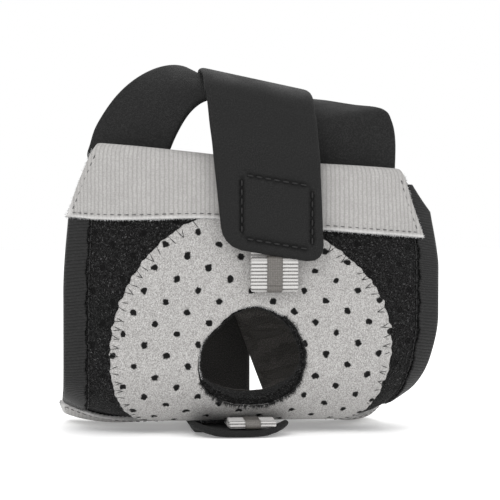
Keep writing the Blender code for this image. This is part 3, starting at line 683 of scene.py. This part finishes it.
# Zigzag stitches across the patch's edge, some of them lost in the nap.
turns = np.linspace(-math.pi, math.pi, 92, endpoint=False) + rng.normal(0, 0.006, 92)
turns = turns[np.abs(np.sin(turns)) * PATCH_RADIUS < HOLE_S - TRIM_WIDTH - 0.0004]
strands = []
for lean in (-0.024, 0.018):
    count = len(turns)
    near = PATCH_RADIUS - 0.0026 + rng.normal(0, 0.00028, count)
    far = PATCH_RADIUS + 0.0003 + rng.normal(0, 0.00014, count)
    aim = turns + lean + rng.normal(0, 0.004, count)
    kept = rng.random(count) > 0.30
    strands.append((on_patch(near, turns, PATCH + 0.00012)[kept],
                    on_patch(far, aim, PATCH - 0.00020)[kept],
                    unit(on_patch(near, turns, 0.002) - on_patch(near, turns, 0.0))[kept]))
patch_stitches = capsules("patch_edge_stitches", *joined(strands), 0.00023, 0.00024,
                          black_thread)
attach(patch_stitches, "front")


# ---------------- trims
def fold_section(front, back, thickness, bulge):
    """(distance, face offset) of a folded tape's middle line, front edge to back edge."""
    face = thickness / 2 + 0.0001
    rear = -PANEL_THICKNESS - face
    radius = (face - rear) / 2
    centre = (face + rear) / 2
    line = [(d, face) for d in front - stations(16, front, thickness) * (front - radius * 0.7)]
    for turn in np.linspace(0.15, math.pi - 0.15, 11):
        line.append((radius * 0.7 - radius * (1 + bulge) * math.sin(turn) * 0.9,
                     centre + radius * math.cos(turn)))
    line += [(d, rear) for d in radius * 0.7 + stations(5, back, thickness) * (back - radius * 0.7)]
    return np.array(line)


def trim_reach(s, side):
    """How far a trim runs to one side; its top right end stops short of the panel's edge."""
    top_right = TOP_RIGHT - 0.0008 + 0.0058 * np.clip(s / TRIM_WIDTH, 0, 1)
    return np.where((side > 0) & (s < HOLE_S), top_right, half_width(s, side) + 0.0006)


def down_panel(depth, at_top):
    """Distance down the cloth of a depth from the top end or the bottom end."""
    return depth if at_top else PANEL_LENGTH - depth


def face_row(u, s, lift, pitch, length):
    """Stitches along a line on the panel's face."""
    return stitched_line(panel(u, s, lift), panel(u, s, 0.003) - panel(u, s, 0.0), pitch, length)


def make_trim_piece(name, at_top):
    section = fold_section(TRIM_WIDTH, TRIM_BACK_LEG, TRIM, 0.15)
    length = 2 * PANEL_HALF_WIDTH
    t = 2 * stations(640, length, TRIM * 1.2)[:, None] - 1
    depth, face = section[None, :, 0], section[None, :, 1]
    s = down_panel(depth, at_top)
    u = t * trim_reach(np.clip(s, 0, PANEL_LENGTH), np.sign(t))
    outside = np.where(face > -PANEL_THICKNESS / 2, 1, -1)
    puff = 0.00035 * np.sin(np.clip(depth / TRIM_WIDTH, 0, 1) * math.pi)
    waviness = 0.00022 * np.sin(u * 260) * ease(depth, 0.012, TRIM_WIDTH)
    mid = panel(u, s, face + outside * puff + waviness)
    ribs = 0.00009 * np.sin(u * 2 * math.pi / RIB_PITCH)
    return soft_sheet(name, mid, TRIM, trim_cloth, relief=ribs, cloth=spread(u, depth),
                      flip=at_top)


for name, at_top in (("top_trim", True), ("bottom_trim", False)):
    tape = make_trim_piece(name + "_tape", at_top)
    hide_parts(name)
    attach(tape, "front")
    lines = [(np.linspace(-1, 1, 120), np.full(120, TRIM_WIDTH - 0.0015))]
    lines += [(side, np.linspace(0.0015, TRIM_WIDTH - 0.002, 40)) for side in (-1, 1)]
    rows = []
    for across, depth in lines:
        s = down_panel(depth, at_top)
        u = across * (trim_reach(s, np.sign(across)) - 0.0020)
        rows.append(face_row(u, s, TRIM + 0.0003, 0.0021, 0.0012))
    row = capsules(name + "_stitches", *joined(rows), 0.00028, 0.00030, grey_thread)
    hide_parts(name + "_stitching")
    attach(row, "front")


# ---------------- overlocked side edges
OVERLOCK = 0.0007
OVERLOCK_LAP = 0.0020        # how far the bands run under the trims


def make_edge(name, side, width):
    section = fold_section(width, width, OVERLOCK, 0.0)
    first = TRIM_WIDTH - OVERLOCK_LAP if side < 0 else 0.0030
    length = PANEL_LENGTH - TRIM_WIDTH + OVERLOCK_LAP - first
    s = first + stations(470, length, 0.0005)[:, None] * length
    depth, face = section[None, :, 0], section[None, :, 1]
    inner = ease(depth, width * 0.6, width)
    depth = depth + inner * (0.00028 * np.sin(s * 700) + 0.00014 * np.sin(s * 2300 + 1))
    mid = panel(side * (half_width(s, side) + 0.0004 - depth), s, face)
    ribs = 0.00010 * np.sin((s + 0.10 * depth) * 2 * math.pi / THREAD_PITCH)
    return soft_sheet(name, mid, OVERLOCK, overlock, relief=ribs, cloth=spread(depth, s),
                      flip=side > 0)


for name, side, width in (("left_edge", -1, 0.0086), ("right_edge", 1, 0.0076)):
    edge_piece = make_edge(name + "_overlock", side, width)
    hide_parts(name + "_binding")
    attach(edge_piece, "front")
    s = np.linspace(TRIM_WIDTH, PANEL_LENGTH - TRIM_WIDTH, 100)
    u = np.full(100, side * (PANEL_HALF_WIDTH - width - 0.0004))
    seam = capsules(name + "_seam", *face_row(u, s, 0.0002, 0.0022, 0.0018), 0.00034, 0.0003,
                    black_thread)
    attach(seam, "front")


# ---------------- back flaps
FLAP_THICKNESS = 0.0030
FLAP_CENTRE_Y = 0.0220
FLAP_SEAM_X = 0.0518
FLAP_SEAM_Y = 0.0145
FLAP_BACK_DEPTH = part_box("outer_flap")[1][1] - FLAP_CENTRE_Y
FLAP_TUCK = 0.0030           # how far the flaps run inside the side bands
CLOSURE_GAP = 0.0016
SEAM_FOOT, SEAM_TOP = 0.0235, 0.0585      # heights at the side seams
BACK_FOOT, BACK_TOP = 0.0030, 0.0560      # and at the middle of the back


def flap_grid(outer_flap, inset):
    """Middle surface of a flap: rows climb from its foot to its top, columns run to its end."""
    first = -math.asin((FLAP_CENTRE_Y - FLAP_SEAM_Y + FLAP_TUCK) / FLAP_BACK_DEPTH)
    share = stations(34, 0.055, 0.0015)[:, None]
    end_z = BACK_FOOT + (BACK_TOP - BACK_FOOT) * share
    end_x = (-0.0065 - 0.0095 * ease(end_z, 0.024, 0.036) if outer_flap
             else 0.0062 - 0.37 * (end_z - 0.018))
    last = np.arccos(np.clip(end_x / FLAP_SEAM_X, -1, 1))
    turn = first + (last - first) * stations(64, 0.085, 0.0015)[None, :]
    lap = 0 if outer_flap else (FLAP_THICKNESS + CLOSURE_GAP) * ease(turn, 0, 1.2)
    depth = FLAP_BACK_DEPTH - lap
    x, y = FLAP_SEAM_X * np.cos(turn), depth * np.sin(turn)
    normal = unit(spread(depth * np.cos(turn), FLAP_SEAM_X * np.sin(turn)))
    back = ease(turn, 0, math.pi / 2)
    foot = SEAM_FOOT + (BACK_FOOT - SEAM_FOOT) * back
    top = SEAM_TOP + (BACK_TOP - SEAM_TOP) * back
    sag = 0.00024 * np.sin(np.clip(turn / 1.5, 0, 1) * math.pi) * np.cos(share * math.pi)
    ripple = 0.00045 * np.sin(turn * 7 + share * 5) * np.sin(share * 9 + turn * 3)
    if not outer_flap:
        creases = (hump(share - 0.05 * turn, 0.50, 0.035)
                   + 0.7 * hump(share + 0.08 * (turn - 1), 0.30, 0.05))
        ripple = ripple - 0.0007 * creases * ease(turn, 0.5, 1.0)
    reach = inset + ripple
    side = -1 if outer_flap else 1
    return spread(side * (x - reach * normal[..., 0]), FLAP_CENTRE_Y + y - reach * normal[..., 1],
                  foot + (top - foot) * share - sag)


for name, outer_flap, cloth_of in (("outer_flap", True, outer_flap_painted_light),
                                   ("inner_flap", False, inner_flap_painted_light)):
    mid = flap_grid(outer_flap, FLAP_THICKNESS / 2)
    panel_piece = soft_sheet(name + "_panel", mid, FLAP_THICKNESS * 0.94, cloth_of,
                             flip=outer_flap)
    # The lighter copy, painted light, stays on the faces toward the wrist.
    panel_piece.data.materials.append(neoprene)
    for face in panel_piece.data.polygons:      # plain black on the faces away from the wrist
        outward = (face.normal[0] * face.center[0]
                   + face.normal[1] * (face.center[1] - FLAP_CENTRE_Y))
        face.material_index = int(outward > 0)
    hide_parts(name)
    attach(panel_piece, name)


# ---------------- arch strap
ARCH_THICKNESS = 0.0024
ARCH_CLEAR = 0.0004          # between its sewn ends and the trim


def arch_grid():
    """Middle surface of the arch strap from one sewn end to the other."""
    root_face = -PANEL_THICKNESS - TRIM - ARCH_CLEAR - ARCH_THICKNESS / 2

    def root(side, u, s):
        return tuple(panel(side * u, s, root_face))

    # The sewn line at the left, over the top, and down to the right; far is the arch's outer
    # and rear edge, near its inner and front edge.
    far = [root(-1, 0.0455, 0.0150), root(-1, 0.0455, 0.0080),
           (-0.0458, 0.0140, 0.0790), (-0.0452, 0.0144, 0.0838),
           (-0.0432, 0.0152, 0.0893), (-0.0380, 0.0170, 0.0970),
           (-0.0320, 0.0192, 0.1024), (-0.0250, 0.0218, 0.1058),
           (-0.0185, 0.0232, 0.1060), (-0.0125, 0.0238, 0.1022), (0.0045, 0.0235, 0.0982),
           (0.0185, 0.0228, 0.0964), (0.0250, 0.0215, 0.0958), (0.0330, 0.0190, 0.0946),
           (0.0404, 0.0160, 0.0936), (0.0426, 0.0146, 0.0908), (0.0436, 0.0134, 0.0840),
           root(1, 0.0480, 0.0060), root(1, 0.0480, 0.0150)]
    near = [root(-1, 0.0235, 0.0150), root(-1, 0.0235, 0.0080),
            (-0.0232, 0.0072, 0.0800), (-0.0222, 0.0078, 0.0830),
            (-0.0205, 0.0080, 0.0866), (-0.0184, 0.0078, 0.0902),
            (-0.0160, 0.0072, 0.0932), (-0.0132, 0.0064, 0.0954),
            (-0.0100, 0.0056, 0.0964), (-0.0050, 0.0050, 0.0960), (0.0045, 0.0047, 0.0942),
            (0.0095, 0.0047, 0.0930), (0.0128, 0.0050, 0.0912), (0.0148, 0.0056, 0.0886),
            (0.0160, 0.0063, 0.0858), (0.0168, 0.0070, 0.0828), (0.0174, 0.0074, 0.0798),
            root(1, 0.0180, 0.0080), root(1, 0.0180, 0.0150)]
    count = 150
    far, near = curve_through(far, count), curve_through(near, count)
    t = stations(18, 0.0215, ARCH_THICKNESS / 2)[None, :, None]
    mid = far[:, None] * (1 - t) + near[:, None] * t
    along = np.gradient(mid, axis=0)
    normal = unit(np.cross(along, near[:, None] - far[:, None]))
    turn = np.where(normal[..., 2:3] - normal[..., 1:2] < 0, -1, 1)
    crown = 0.0010 * np.sin(t * math.pi)
    wave = 0.0003 * np.sin(np.linspace(0, 14, count))[:, None, None] * np.sin(t * 5)
    return mid + normal * turn * (crown + wave)


arch = soft_sheet("arch_band", arch_grid(), ARCH_THICKNESS, neoprene)
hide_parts("arch_strap", "arch_strap_left_end", "arch_strap_right_end")
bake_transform(arch)


# ---------------- top strap
STRAP_THICKNESS = 0.0018
TOP_STRAP_SLANT = 0.170
STRAP_X, STRAP_END_X = 0.0024, 0.0058
STRAP_WIDTH, STRAP_END_WIDTH = 0.0318, 0.0288
STRAP_TOP_Z, STRAP_FLAT_Z, STRAP_END_Z = 0.0973, 0.0770, 0.0515
STRAP_FACE_Y = -0.0054
STRAP_MID_Y = STRAP_FACE_Y + STRAP_THICKNESS / 2
STRAP_TAIL = 0.040           # run of the strap up to the front of its fold
BOX_X, BOX_Z = 0.0066, 0.06385            # the square of stitching
BOX_HALF_X, BOX_HALF_Z = 0.0100, 0.00895


def strap_line():
    """(y, z) of the strap's middle from its tail under the arch to its free end."""
    fold = [(0.0175, 0.0929), (0.0235, 0.0940), (0.0260, 0.0962),
            (0.0256, 0.0990), (0.0222, 0.1003), (0.0150, 0.0999), (0.0090, 0.0989),
            (0.0047, STRAP_TOP_Z), (0.0014, 0.0948), (-0.0012, 0.0907), (-0.0029, 0.0860),
            (STRAP_MID_Y - 0.0002, 0.0815), (STRAP_MID_Y, STRAP_FLAT_Z)]
    curve = curve_through([(0, y, z) for y, z in fold], 90)[:, 1:]
    span = STRAP_FLAT_Z - STRAP_END_Z
    down = STRAP_FLAT_Z - stations(64, span, 0.0055)[1:] * span
    return np.concatenate([curve, spread(STRAP_MID_Y, down)])


def rounded_width(width, corner, distance):
    """The width left by rounded corners at a distance from the end."""
    share = np.clip(distance / corner, 0, 1)
    return width - 2 * corner * (1 - np.sqrt(np.clip(1 - (1 - share) ** 2, 0, 1)))


def strap_grid(line, width, middle, slant):
    """A strap's middle surface, and each column's place across it from -0.5 to 0.5."""
    t = stations(70, 0.030, STRAP_THICKNESS / 2)[None, :] - 0.5
    off = t * width[:, None]
    return spread(middle[:, None] + off, line[:, :1], line[:, 1:] - slant * off), t


line = strap_line()
run = run_along(line)
share = np.clip((STRAP_TOP_Z - line[:, 1]) / (STRAP_TOP_Z - STRAP_END_Z), 0, 1)
share = share * (run > STRAP_TAIL)
width = STRAP_WIDTH + (STRAP_END_WIDTH - STRAP_WIDTH) * share
width = rounded_width(width, 0.0052, run[-1] - run)
middle = STRAP_X + (STRAP_END_X - STRAP_X) * share
mid, t = strap_grid(line, width, middle, TOP_STRAP_SLANT)
mid[..., 2] += (0.0019 - 0.0012 * t) * ease(mid[..., 2], 0.086, 0.097)

# The square seam presses a groove, which puckers at each stitch; the cloth puffs beside it.
local_x = mid[..., 0] - BOX_X
local_z = mid[..., 2] + TOP_STRAP_SLANT * local_x
in_x, in_z = BOX_HALF_X - np.abs(local_x), BOX_HALF_Z - np.abs(local_z - BOX_Z)
to_line = -np.minimum(in_x, in_z)
corner = np.maximum(in_x, 0) + np.maximum(in_z, 0)
to_line = to_line + 0.0011 * np.clip(1 - corner / 0.0030, 0, 1) ** 2 * (to_line < 0.0006)
on_front = (mid[..., 1] < 0) * 1.0
pucker = 1 + 0.5 * np.sin((local_x + local_z) * 2 * math.pi / 0.0024)
seam_fall = hump(to_line, 0, 0.00062) * on_front
groove = -0.00075 * seam_fall * (0.7 + 0.2 * pucker)
puff = (0.00060 * ease(-to_line, 0, 0.0035) + 0.00025 * ease(to_line, 0, 0.0016)) * on_front
# The groove's darkening is painted shade, handed to the material in the cloth's third coordinate.
strap = soft_sheet("centre_strap", mid, STRAP_THICKNESS, neoprene, relief=groove + puff,
                   radius=0.0016, painted_groove_shade=seam_fall * 0.62)
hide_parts("top_strap", "top_strap_fold")
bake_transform(strap)

corners = np.array([(-1, 1), (1, 1), (1, -1), (-1, -1), (-1, 1)]) * (BOX_HALF_X, BOX_HALF_Z)
rows = []
for a, b in zip(corners, corners[1:]):
    gap = 0.0012 * unit(b - a)
    x, z = np.linspace(a + gap, b - gap, 12).T
    points = spread(BOX_X + x, STRAP_FACE_Y - 0.00005, BOX_Z + z - TOP_STRAP_SLANT * x)
    rows.append(stitched_line(points, np.tile((0, -1, 0), (12, 1)), 0.0024, 0.0017))
box_row = capsules("centre_strap_stitches", *joined(rows), 0.00056, 0.00056, strap_thread)
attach(box_row, "top_strap")
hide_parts("top_strap_stitching")

for name in ("flap_hook_patch", "top_strap_hook_patch", "bottom_strap_hook_patch"):
    nodes[name].data.materials.clear()
    nodes[name].data.materials.append(hook)


# ---------------- pull tabs
TAB_WIDTH = 0.0134
TAPE = 0.0009
STRIPE = 0.0003
STRIPE_WIDTH = 0.0044
LEG_POINTS, TIP_POINTS = 42, 13


def webbing_loop(name, low, high, horizontal, body, node):
    """A pull tab: a flat loop of ribbed webbing filling the box from low to high."""
    x0, x1 = low[0], high[0]
    deep, long = (2, 1) if horizontal else (1, 2)
    near, length = high[long], high[long] - low[long]
    centre = (low[deep] + high[deep]) / 2
    half = (high[deep] - low[deep]) / 2 - TAPE / 2 - 0.0001
    root = half + TAPE / 2
    line = []
    for side, ks in ((-1, np.linspace(0, 1, LEG_POINTS)), (1, np.linspace(1, 0, LEG_POINTS))):
        line += [(root + (length - 2 * half - TAPE) * k,
                  side * half * (0.80 + 0.20 * math.cos(k * 3.14))) for k in ks]
        if side < 0:
            line += [(length - root + half * math.cos(turn), half * 0.72 * math.sin(turn))
                     for turn in np.linspace(-math.pi / 2, math.pi / 2, TIP_POINTS + 2)[1:-1]]
    line += [(root + half * math.cos(turn), half * math.sin(turn))
             for turn in np.linspace(math.pi / 2, 3 * math.pi / 2, 9)[1:-1]]
    line = np.array(line)
    run_of = run_along(line)[:, None]
    x = x0 + (x1 - x0) * stations(22, TAB_WIDTH, TAPE / 2)[None, :]
    along, side = near - line[:, :1], centre + line[:, 1:]
    mid_of = spread(x, along, side) if horizontal else spread(x, side, along)
    pitch, tape = (FINE_WEB_PITCH, fine_webbing) if horizontal else (WEB_PITCH, webbing)
    ribs = 0.00013 * np.sin(run_of * 2 * math.pi / pitch)
    tab = soft_sheet(name, mid_of, TAPE, tape, wrap=True, relief=ribs, cloth=spread(x, run_of),
                     flip=horizontal)
    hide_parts(node)
    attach(tab, body)
    stripe_x = (x0 + x1) / 2 + np.linspace(-0.5, 0.5, 9)[None, :] * STRIPE_WIDTH
    normal = grid_normals(mid_of, True).mean(1) * (-1 if horizontal else 1)
    lifted = mid_of.mean(1) + normal * (TAPE / 2 + 0.00022)
    strip_mid = spread(stripe_x, lifted[:, 1:2], lifted[:, 2:3])
    strip_mid = np.concatenate([strip_mid[-5:], strip_mid[:2 * LEG_POINTS + TIP_POINTS - 2]])
    strip = soft_sheet(name + "_stripe", strip_mid, STRIPE, reflector, flip=horizontal,
                       radius=0.0002)
    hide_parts(node + "_reflector")
    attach(strip, body)


top_low, top_high = np.array(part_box("top_tab"))
webbing_loop("upper_pull_tab", top_low + (0, 0, 0.0016), top_high + (0, 0, 0.0016), False,
             "top_tab", "top_tab")
bottom_low, bottom_high = np.array(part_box("bottom_tab"))
webbing_loop("lower_pull_tab", bottom_low - (0, 0, 0.0007), bottom_high - (0, 0, 0.0009), True,
             "bottom_tab", "bottom_tab")


def webbing_root(name, node, near, far, horizontal):
    """The sewn end of a pull tab, running in its node's box from its strap to the loop."""
    low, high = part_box(node)
    middle = (np.array(low) + high) / 2
    x = low[0] + (high[0] - low[0]) * stations(14, TAB_WIDTH, 0.0004)[None, :]
    v = near + (far - near) * stations(16, near - far, 0.0004)[:, None]
    mid_of = spread(x, v, middle[2]) if horizontal else spread(x, middle[1], v)
    ribs = 0.0001 * np.sin(v * 2 * math.pi / WEB_PITCH)
    piece = soft_sheet(name, mid_of, TAPE, webbing, relief=ribs, cloth=spread(x, v))
    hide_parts(node)
    if horizontal:
        return piece
    stripe_x = middle[0] + np.linspace(-0.5, 0.5, 7)[None, :] * STRIPE_WIDTH
    stripe_mid = spread(stripe_x, middle[1] - 0.00078, v)
    return piece, soft_sheet(name + "_stripe", stripe_mid, STRIPE, reflector, radius=0.0002)


LOOP_LAP = 0.0020            # how far a sewn end runs into its loop
for piece in webbing_root("upper_tab_end", "top_tab_root",
                          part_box("top_tab_root")[1][2] + 0.0012, top_high[2] - LOOP_LAP, False):
    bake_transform(piece)
lower_root = webbing_root("lower_tab_end", "bottom_tab_root",
                          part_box("bottom_tab_root")[1][1], bottom_high[1] - LOOP_LAP, True)
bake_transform(lower_root)


# ---------------- lower strap
low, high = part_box("bottom_strap")
sewn_low, sewn_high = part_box("bottom_strap_sewn_end")
BOTTOM_X = (low[0] + high[0]) / 2
BOTTOM_WIDTH = high[0] - low[0]
reach = sewn_high[1] - low[1]
along = stations(90, reach, 0.0075) * reach
y = low[1] + along
rise = sewn_low[2] * ease(y, high[1], high[1] + 0.004)
bottom_width = rounded_width(np.full(len(along), BOTTOM_WIDTH), 0.0105, along)
bottom_width = bottom_width * (1 - 0.12 * ease(y, 0.004, 0.012))
mid, t = strap_grid(spread(y, STRAP_THICKNESS / 2 + 0.00002 + rise), bottom_width,
                    np.full(len(along), BOTTOM_X), 0)
mid[..., 2] += (0.0034 * np.abs((mid[..., 0] - BOTTOM_X) / (BOTTOM_WIDTH / 2)) ** 3
                * (1 - ease(mid[..., 1], 0.003, 0.013)))
lower = soft_sheet("lower_strap", mid, STRAP_THICKNESS, neoprene, radius=0.0010, flip=True)
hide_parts("bottom_strap", "bottom_strap_sewn_end")
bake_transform(lower)


# ---------------- loose fibres at cut edges
def fibres(name, roots, directions, length, radius, material):
    """Tapered fibres from each root, bent a little, as one mesh."""
    directions = unit(unit(directions) + rng.normal(0, 0.45, directions.shape))
    size = length * rng.uniform(0.35, 1.0, (len(roots), 1))
    side = unit(np.cross(directions, rng.normal(0, 1, directions.shape)))
    other = np.cross(directions, side)
    bend = rng.normal(0, 0.35, (len(roots), 1)) * size
    rings = []
    for share, thick in ((0, 1.0), (0.55, 0.75)):
        middle = roots + directions * size * share + side * bend * share ** 2
        for turn in (0, 2.094, 4.189):
            rings.append(middle + (side * math.cos(turn) + other * math.sin(turn)) * radius * thick)
    rings.append(roots + directions * size + side * bend)
    points = np.stack(rings, 1).reshape(-1, 3)
    pattern = [(0, 2, 1), (0, 1, 4, 3), (1, 2, 5, 4), (2, 0, 3, 5), (3, 4, 6), (4, 5, 6), (5, 3, 6)]
    return link(name, points, repeat_faces(pattern, len(roots), 7), material)


light_fibre = make_thread("fibre_light", 0.48)
dark_fibre = make_thread("fibre_dark", 0.020)
for name, at_top in (("top_trim", True), ("bottom_trim", False)):
    across = rng.uniform(-1, 1, 1500)
    s = down_panel(np.full(1500, TRIM_WIDTH - 0.0002), at_top)
    u = across * trim_reach(s, np.sign(across))
    roots = [panel(u, s, 0.0006 + rng.uniform(0, TRIM * 0.6, 1500))]
    away = [panel(u, s + (0.001 if at_top else -0.001), 0.0006) - roots[0]]
    for side in (-1, 1):
        s = down_panel(rng.uniform(0.0005, TRIM_WIDTH, 320), at_top)
        u = side * (trim_reach(s, side) - 0.0001)
        roots.append(panel(u, s, 0.0006 + rng.uniform(0, TRIM * 0.6, 320)))
        away.append(panel(u + side * 0.001, s, 0.0006) - roots[-1])
    fringe = fibres(name + "_fringe", np.concatenate(roots), np.concatenate(away), 0.0009,
                    0.00005, light_fibre)
    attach(fringe, "front")

turns = rng.uniform(-math.pi, math.pi, 1800)
lift = rng.uniform(-COVER, 0, 1800)
radius = hole_edge(turns, -lift) + 0.0001
roots = on_patch(radius, turns, lift)
rim_fuzz = fibres("opening_fuzz", roots, on_patch(radius - 0.001, turns, lift + 0.0006) - roots,
                  0.0008, 0.00005, dark_fibre)
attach(rim_fuzz, "front")
turns = rng.uniform(-2.7, 0.9, 1000)        # round the opening's bottom and right
radius = hole_edge(turns, 0, True) - 0.0002
roots = on_patch(radius, turns, PATCH * 0.4)
dark_fuzz = fibres("patch_dark_fuzz", roots,
                   on_patch(radius + 0.001, turns, PATCH + 0.0008) - roots,
                   0.0018, 0.00009, dark_fibre)
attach(dark_fuzz, "front")
turns = rng.uniform(0.9, 3.58, 700)         # and round the rest of it
roots = on_patch(hole_edge(turns, 0, True) + 0.0001, turns, PATCH * 0.5)
patch_fuzz = fibres("patch_fuzz", roots, on_patch(HOLE_RADIUS - 0.001, turns, PATCH) - roots,
                    0.0007, 0.00005, light_fibre)
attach(patch_fuzz, "front")


# ---------------- camera, light and floor
YAW = math.radians(-6.0)
RISE = math.radians(1.0)
DISTANCE = 0.560
TARGET = Vector((-0.0005, 0.0, 0.0531))
VIEW_WIDTH = 0.1420
SENSOR = 36
FLOOR_REACH, FLOOR_Z = 3, -0.0002
AIM_Z = 0.05


def place(name, data, location, aim=None):
    """An object in the scene, its -Z axis turned to aim if one is given."""
    made = bpy.data.objects.new(name, data)
    bpy.context.scene.collection.objects.link(made)
    made.location = location
    if aim is not None:
        towards = Vector(aim) - Vector(location)
        made.rotation_euler = towards.to_track_quat("-Z", "Y").to_euler()
    return made


camera_data = bpy.data.cameras.new("camera")
camera_data.sensor_width = SENSOR
camera_data.lens = SENSOR * DISTANCE / VIEW_WIDTH
camera_data.clip_start = 0.01
towards = Vector((math.sin(YAW) * math.cos(RISE), -math.cos(YAW) * math.cos(RISE), math.sin(RISE)))
bpy.context.scene.camera = place("camera", camera_data, TARGET + towards * DISTANCE, TARGET)

floor_mesh = bpy.data.meshes.new("floor")
floor_mesh.from_pydata([(x * FLOOR_REACH, y * FLOOR_REACH, FLOOR_Z)
                        for x, y in ((-1, -1), (1, -1), (1, 1), (-1, 1))], [], [(0, 1, 2, 3)])
floor_material = bpy.data.materials.new("floor_white")
floor_material.use_nodes = True
floor_shader = floor_material.node_tree.nodes["Principled BSDF"]
floor_shader.inputs["Base Color"].default_value = (0.93, 0.93, 0.93, 1)
floor_shader.inputs["Roughness"].default_value = 0.9
floor_shader.inputs["Emission Color"].default_value = (1, 1, 1, 1)
floor_shader.inputs["Emission Strength"].default_value = 0.22
floor_mesh.materials.append(floor_material)
floor = place("floor", floor_mesh, (0, 0, 0))

world = bpy.data.worlds.new("studio")
bpy.context.scene.world = world
world.use_nodes = True
world.node_tree.nodes["Background"].inputs["Color"].default_value = (1, 1, 1, 1)
world.node_tree.nodes["Background"].inputs["Strength"].default_value = 1.0
bpy.context.scene.view_settings.view_transform = "Standard"

for name, location, aim_z, size, power in (("key", (-0.5, -0.8, 0.9), AIM_Z, 0.6, 5),
                                           ("fill", (0.8, -0.7, 0.5), AIM_Z, 0.8, 2),
                                           ("rim", (0.1, 0.8, 0.9), AIM_Z + 0.01, 0.7, 3)):
    lamp = bpy.data.lights.new(name, "AREA")
    lamp.shape = "DISK"
    lamp.size = size
    lamp.energy = power
    place(name, lamp, location, (0, 0, aim_z))
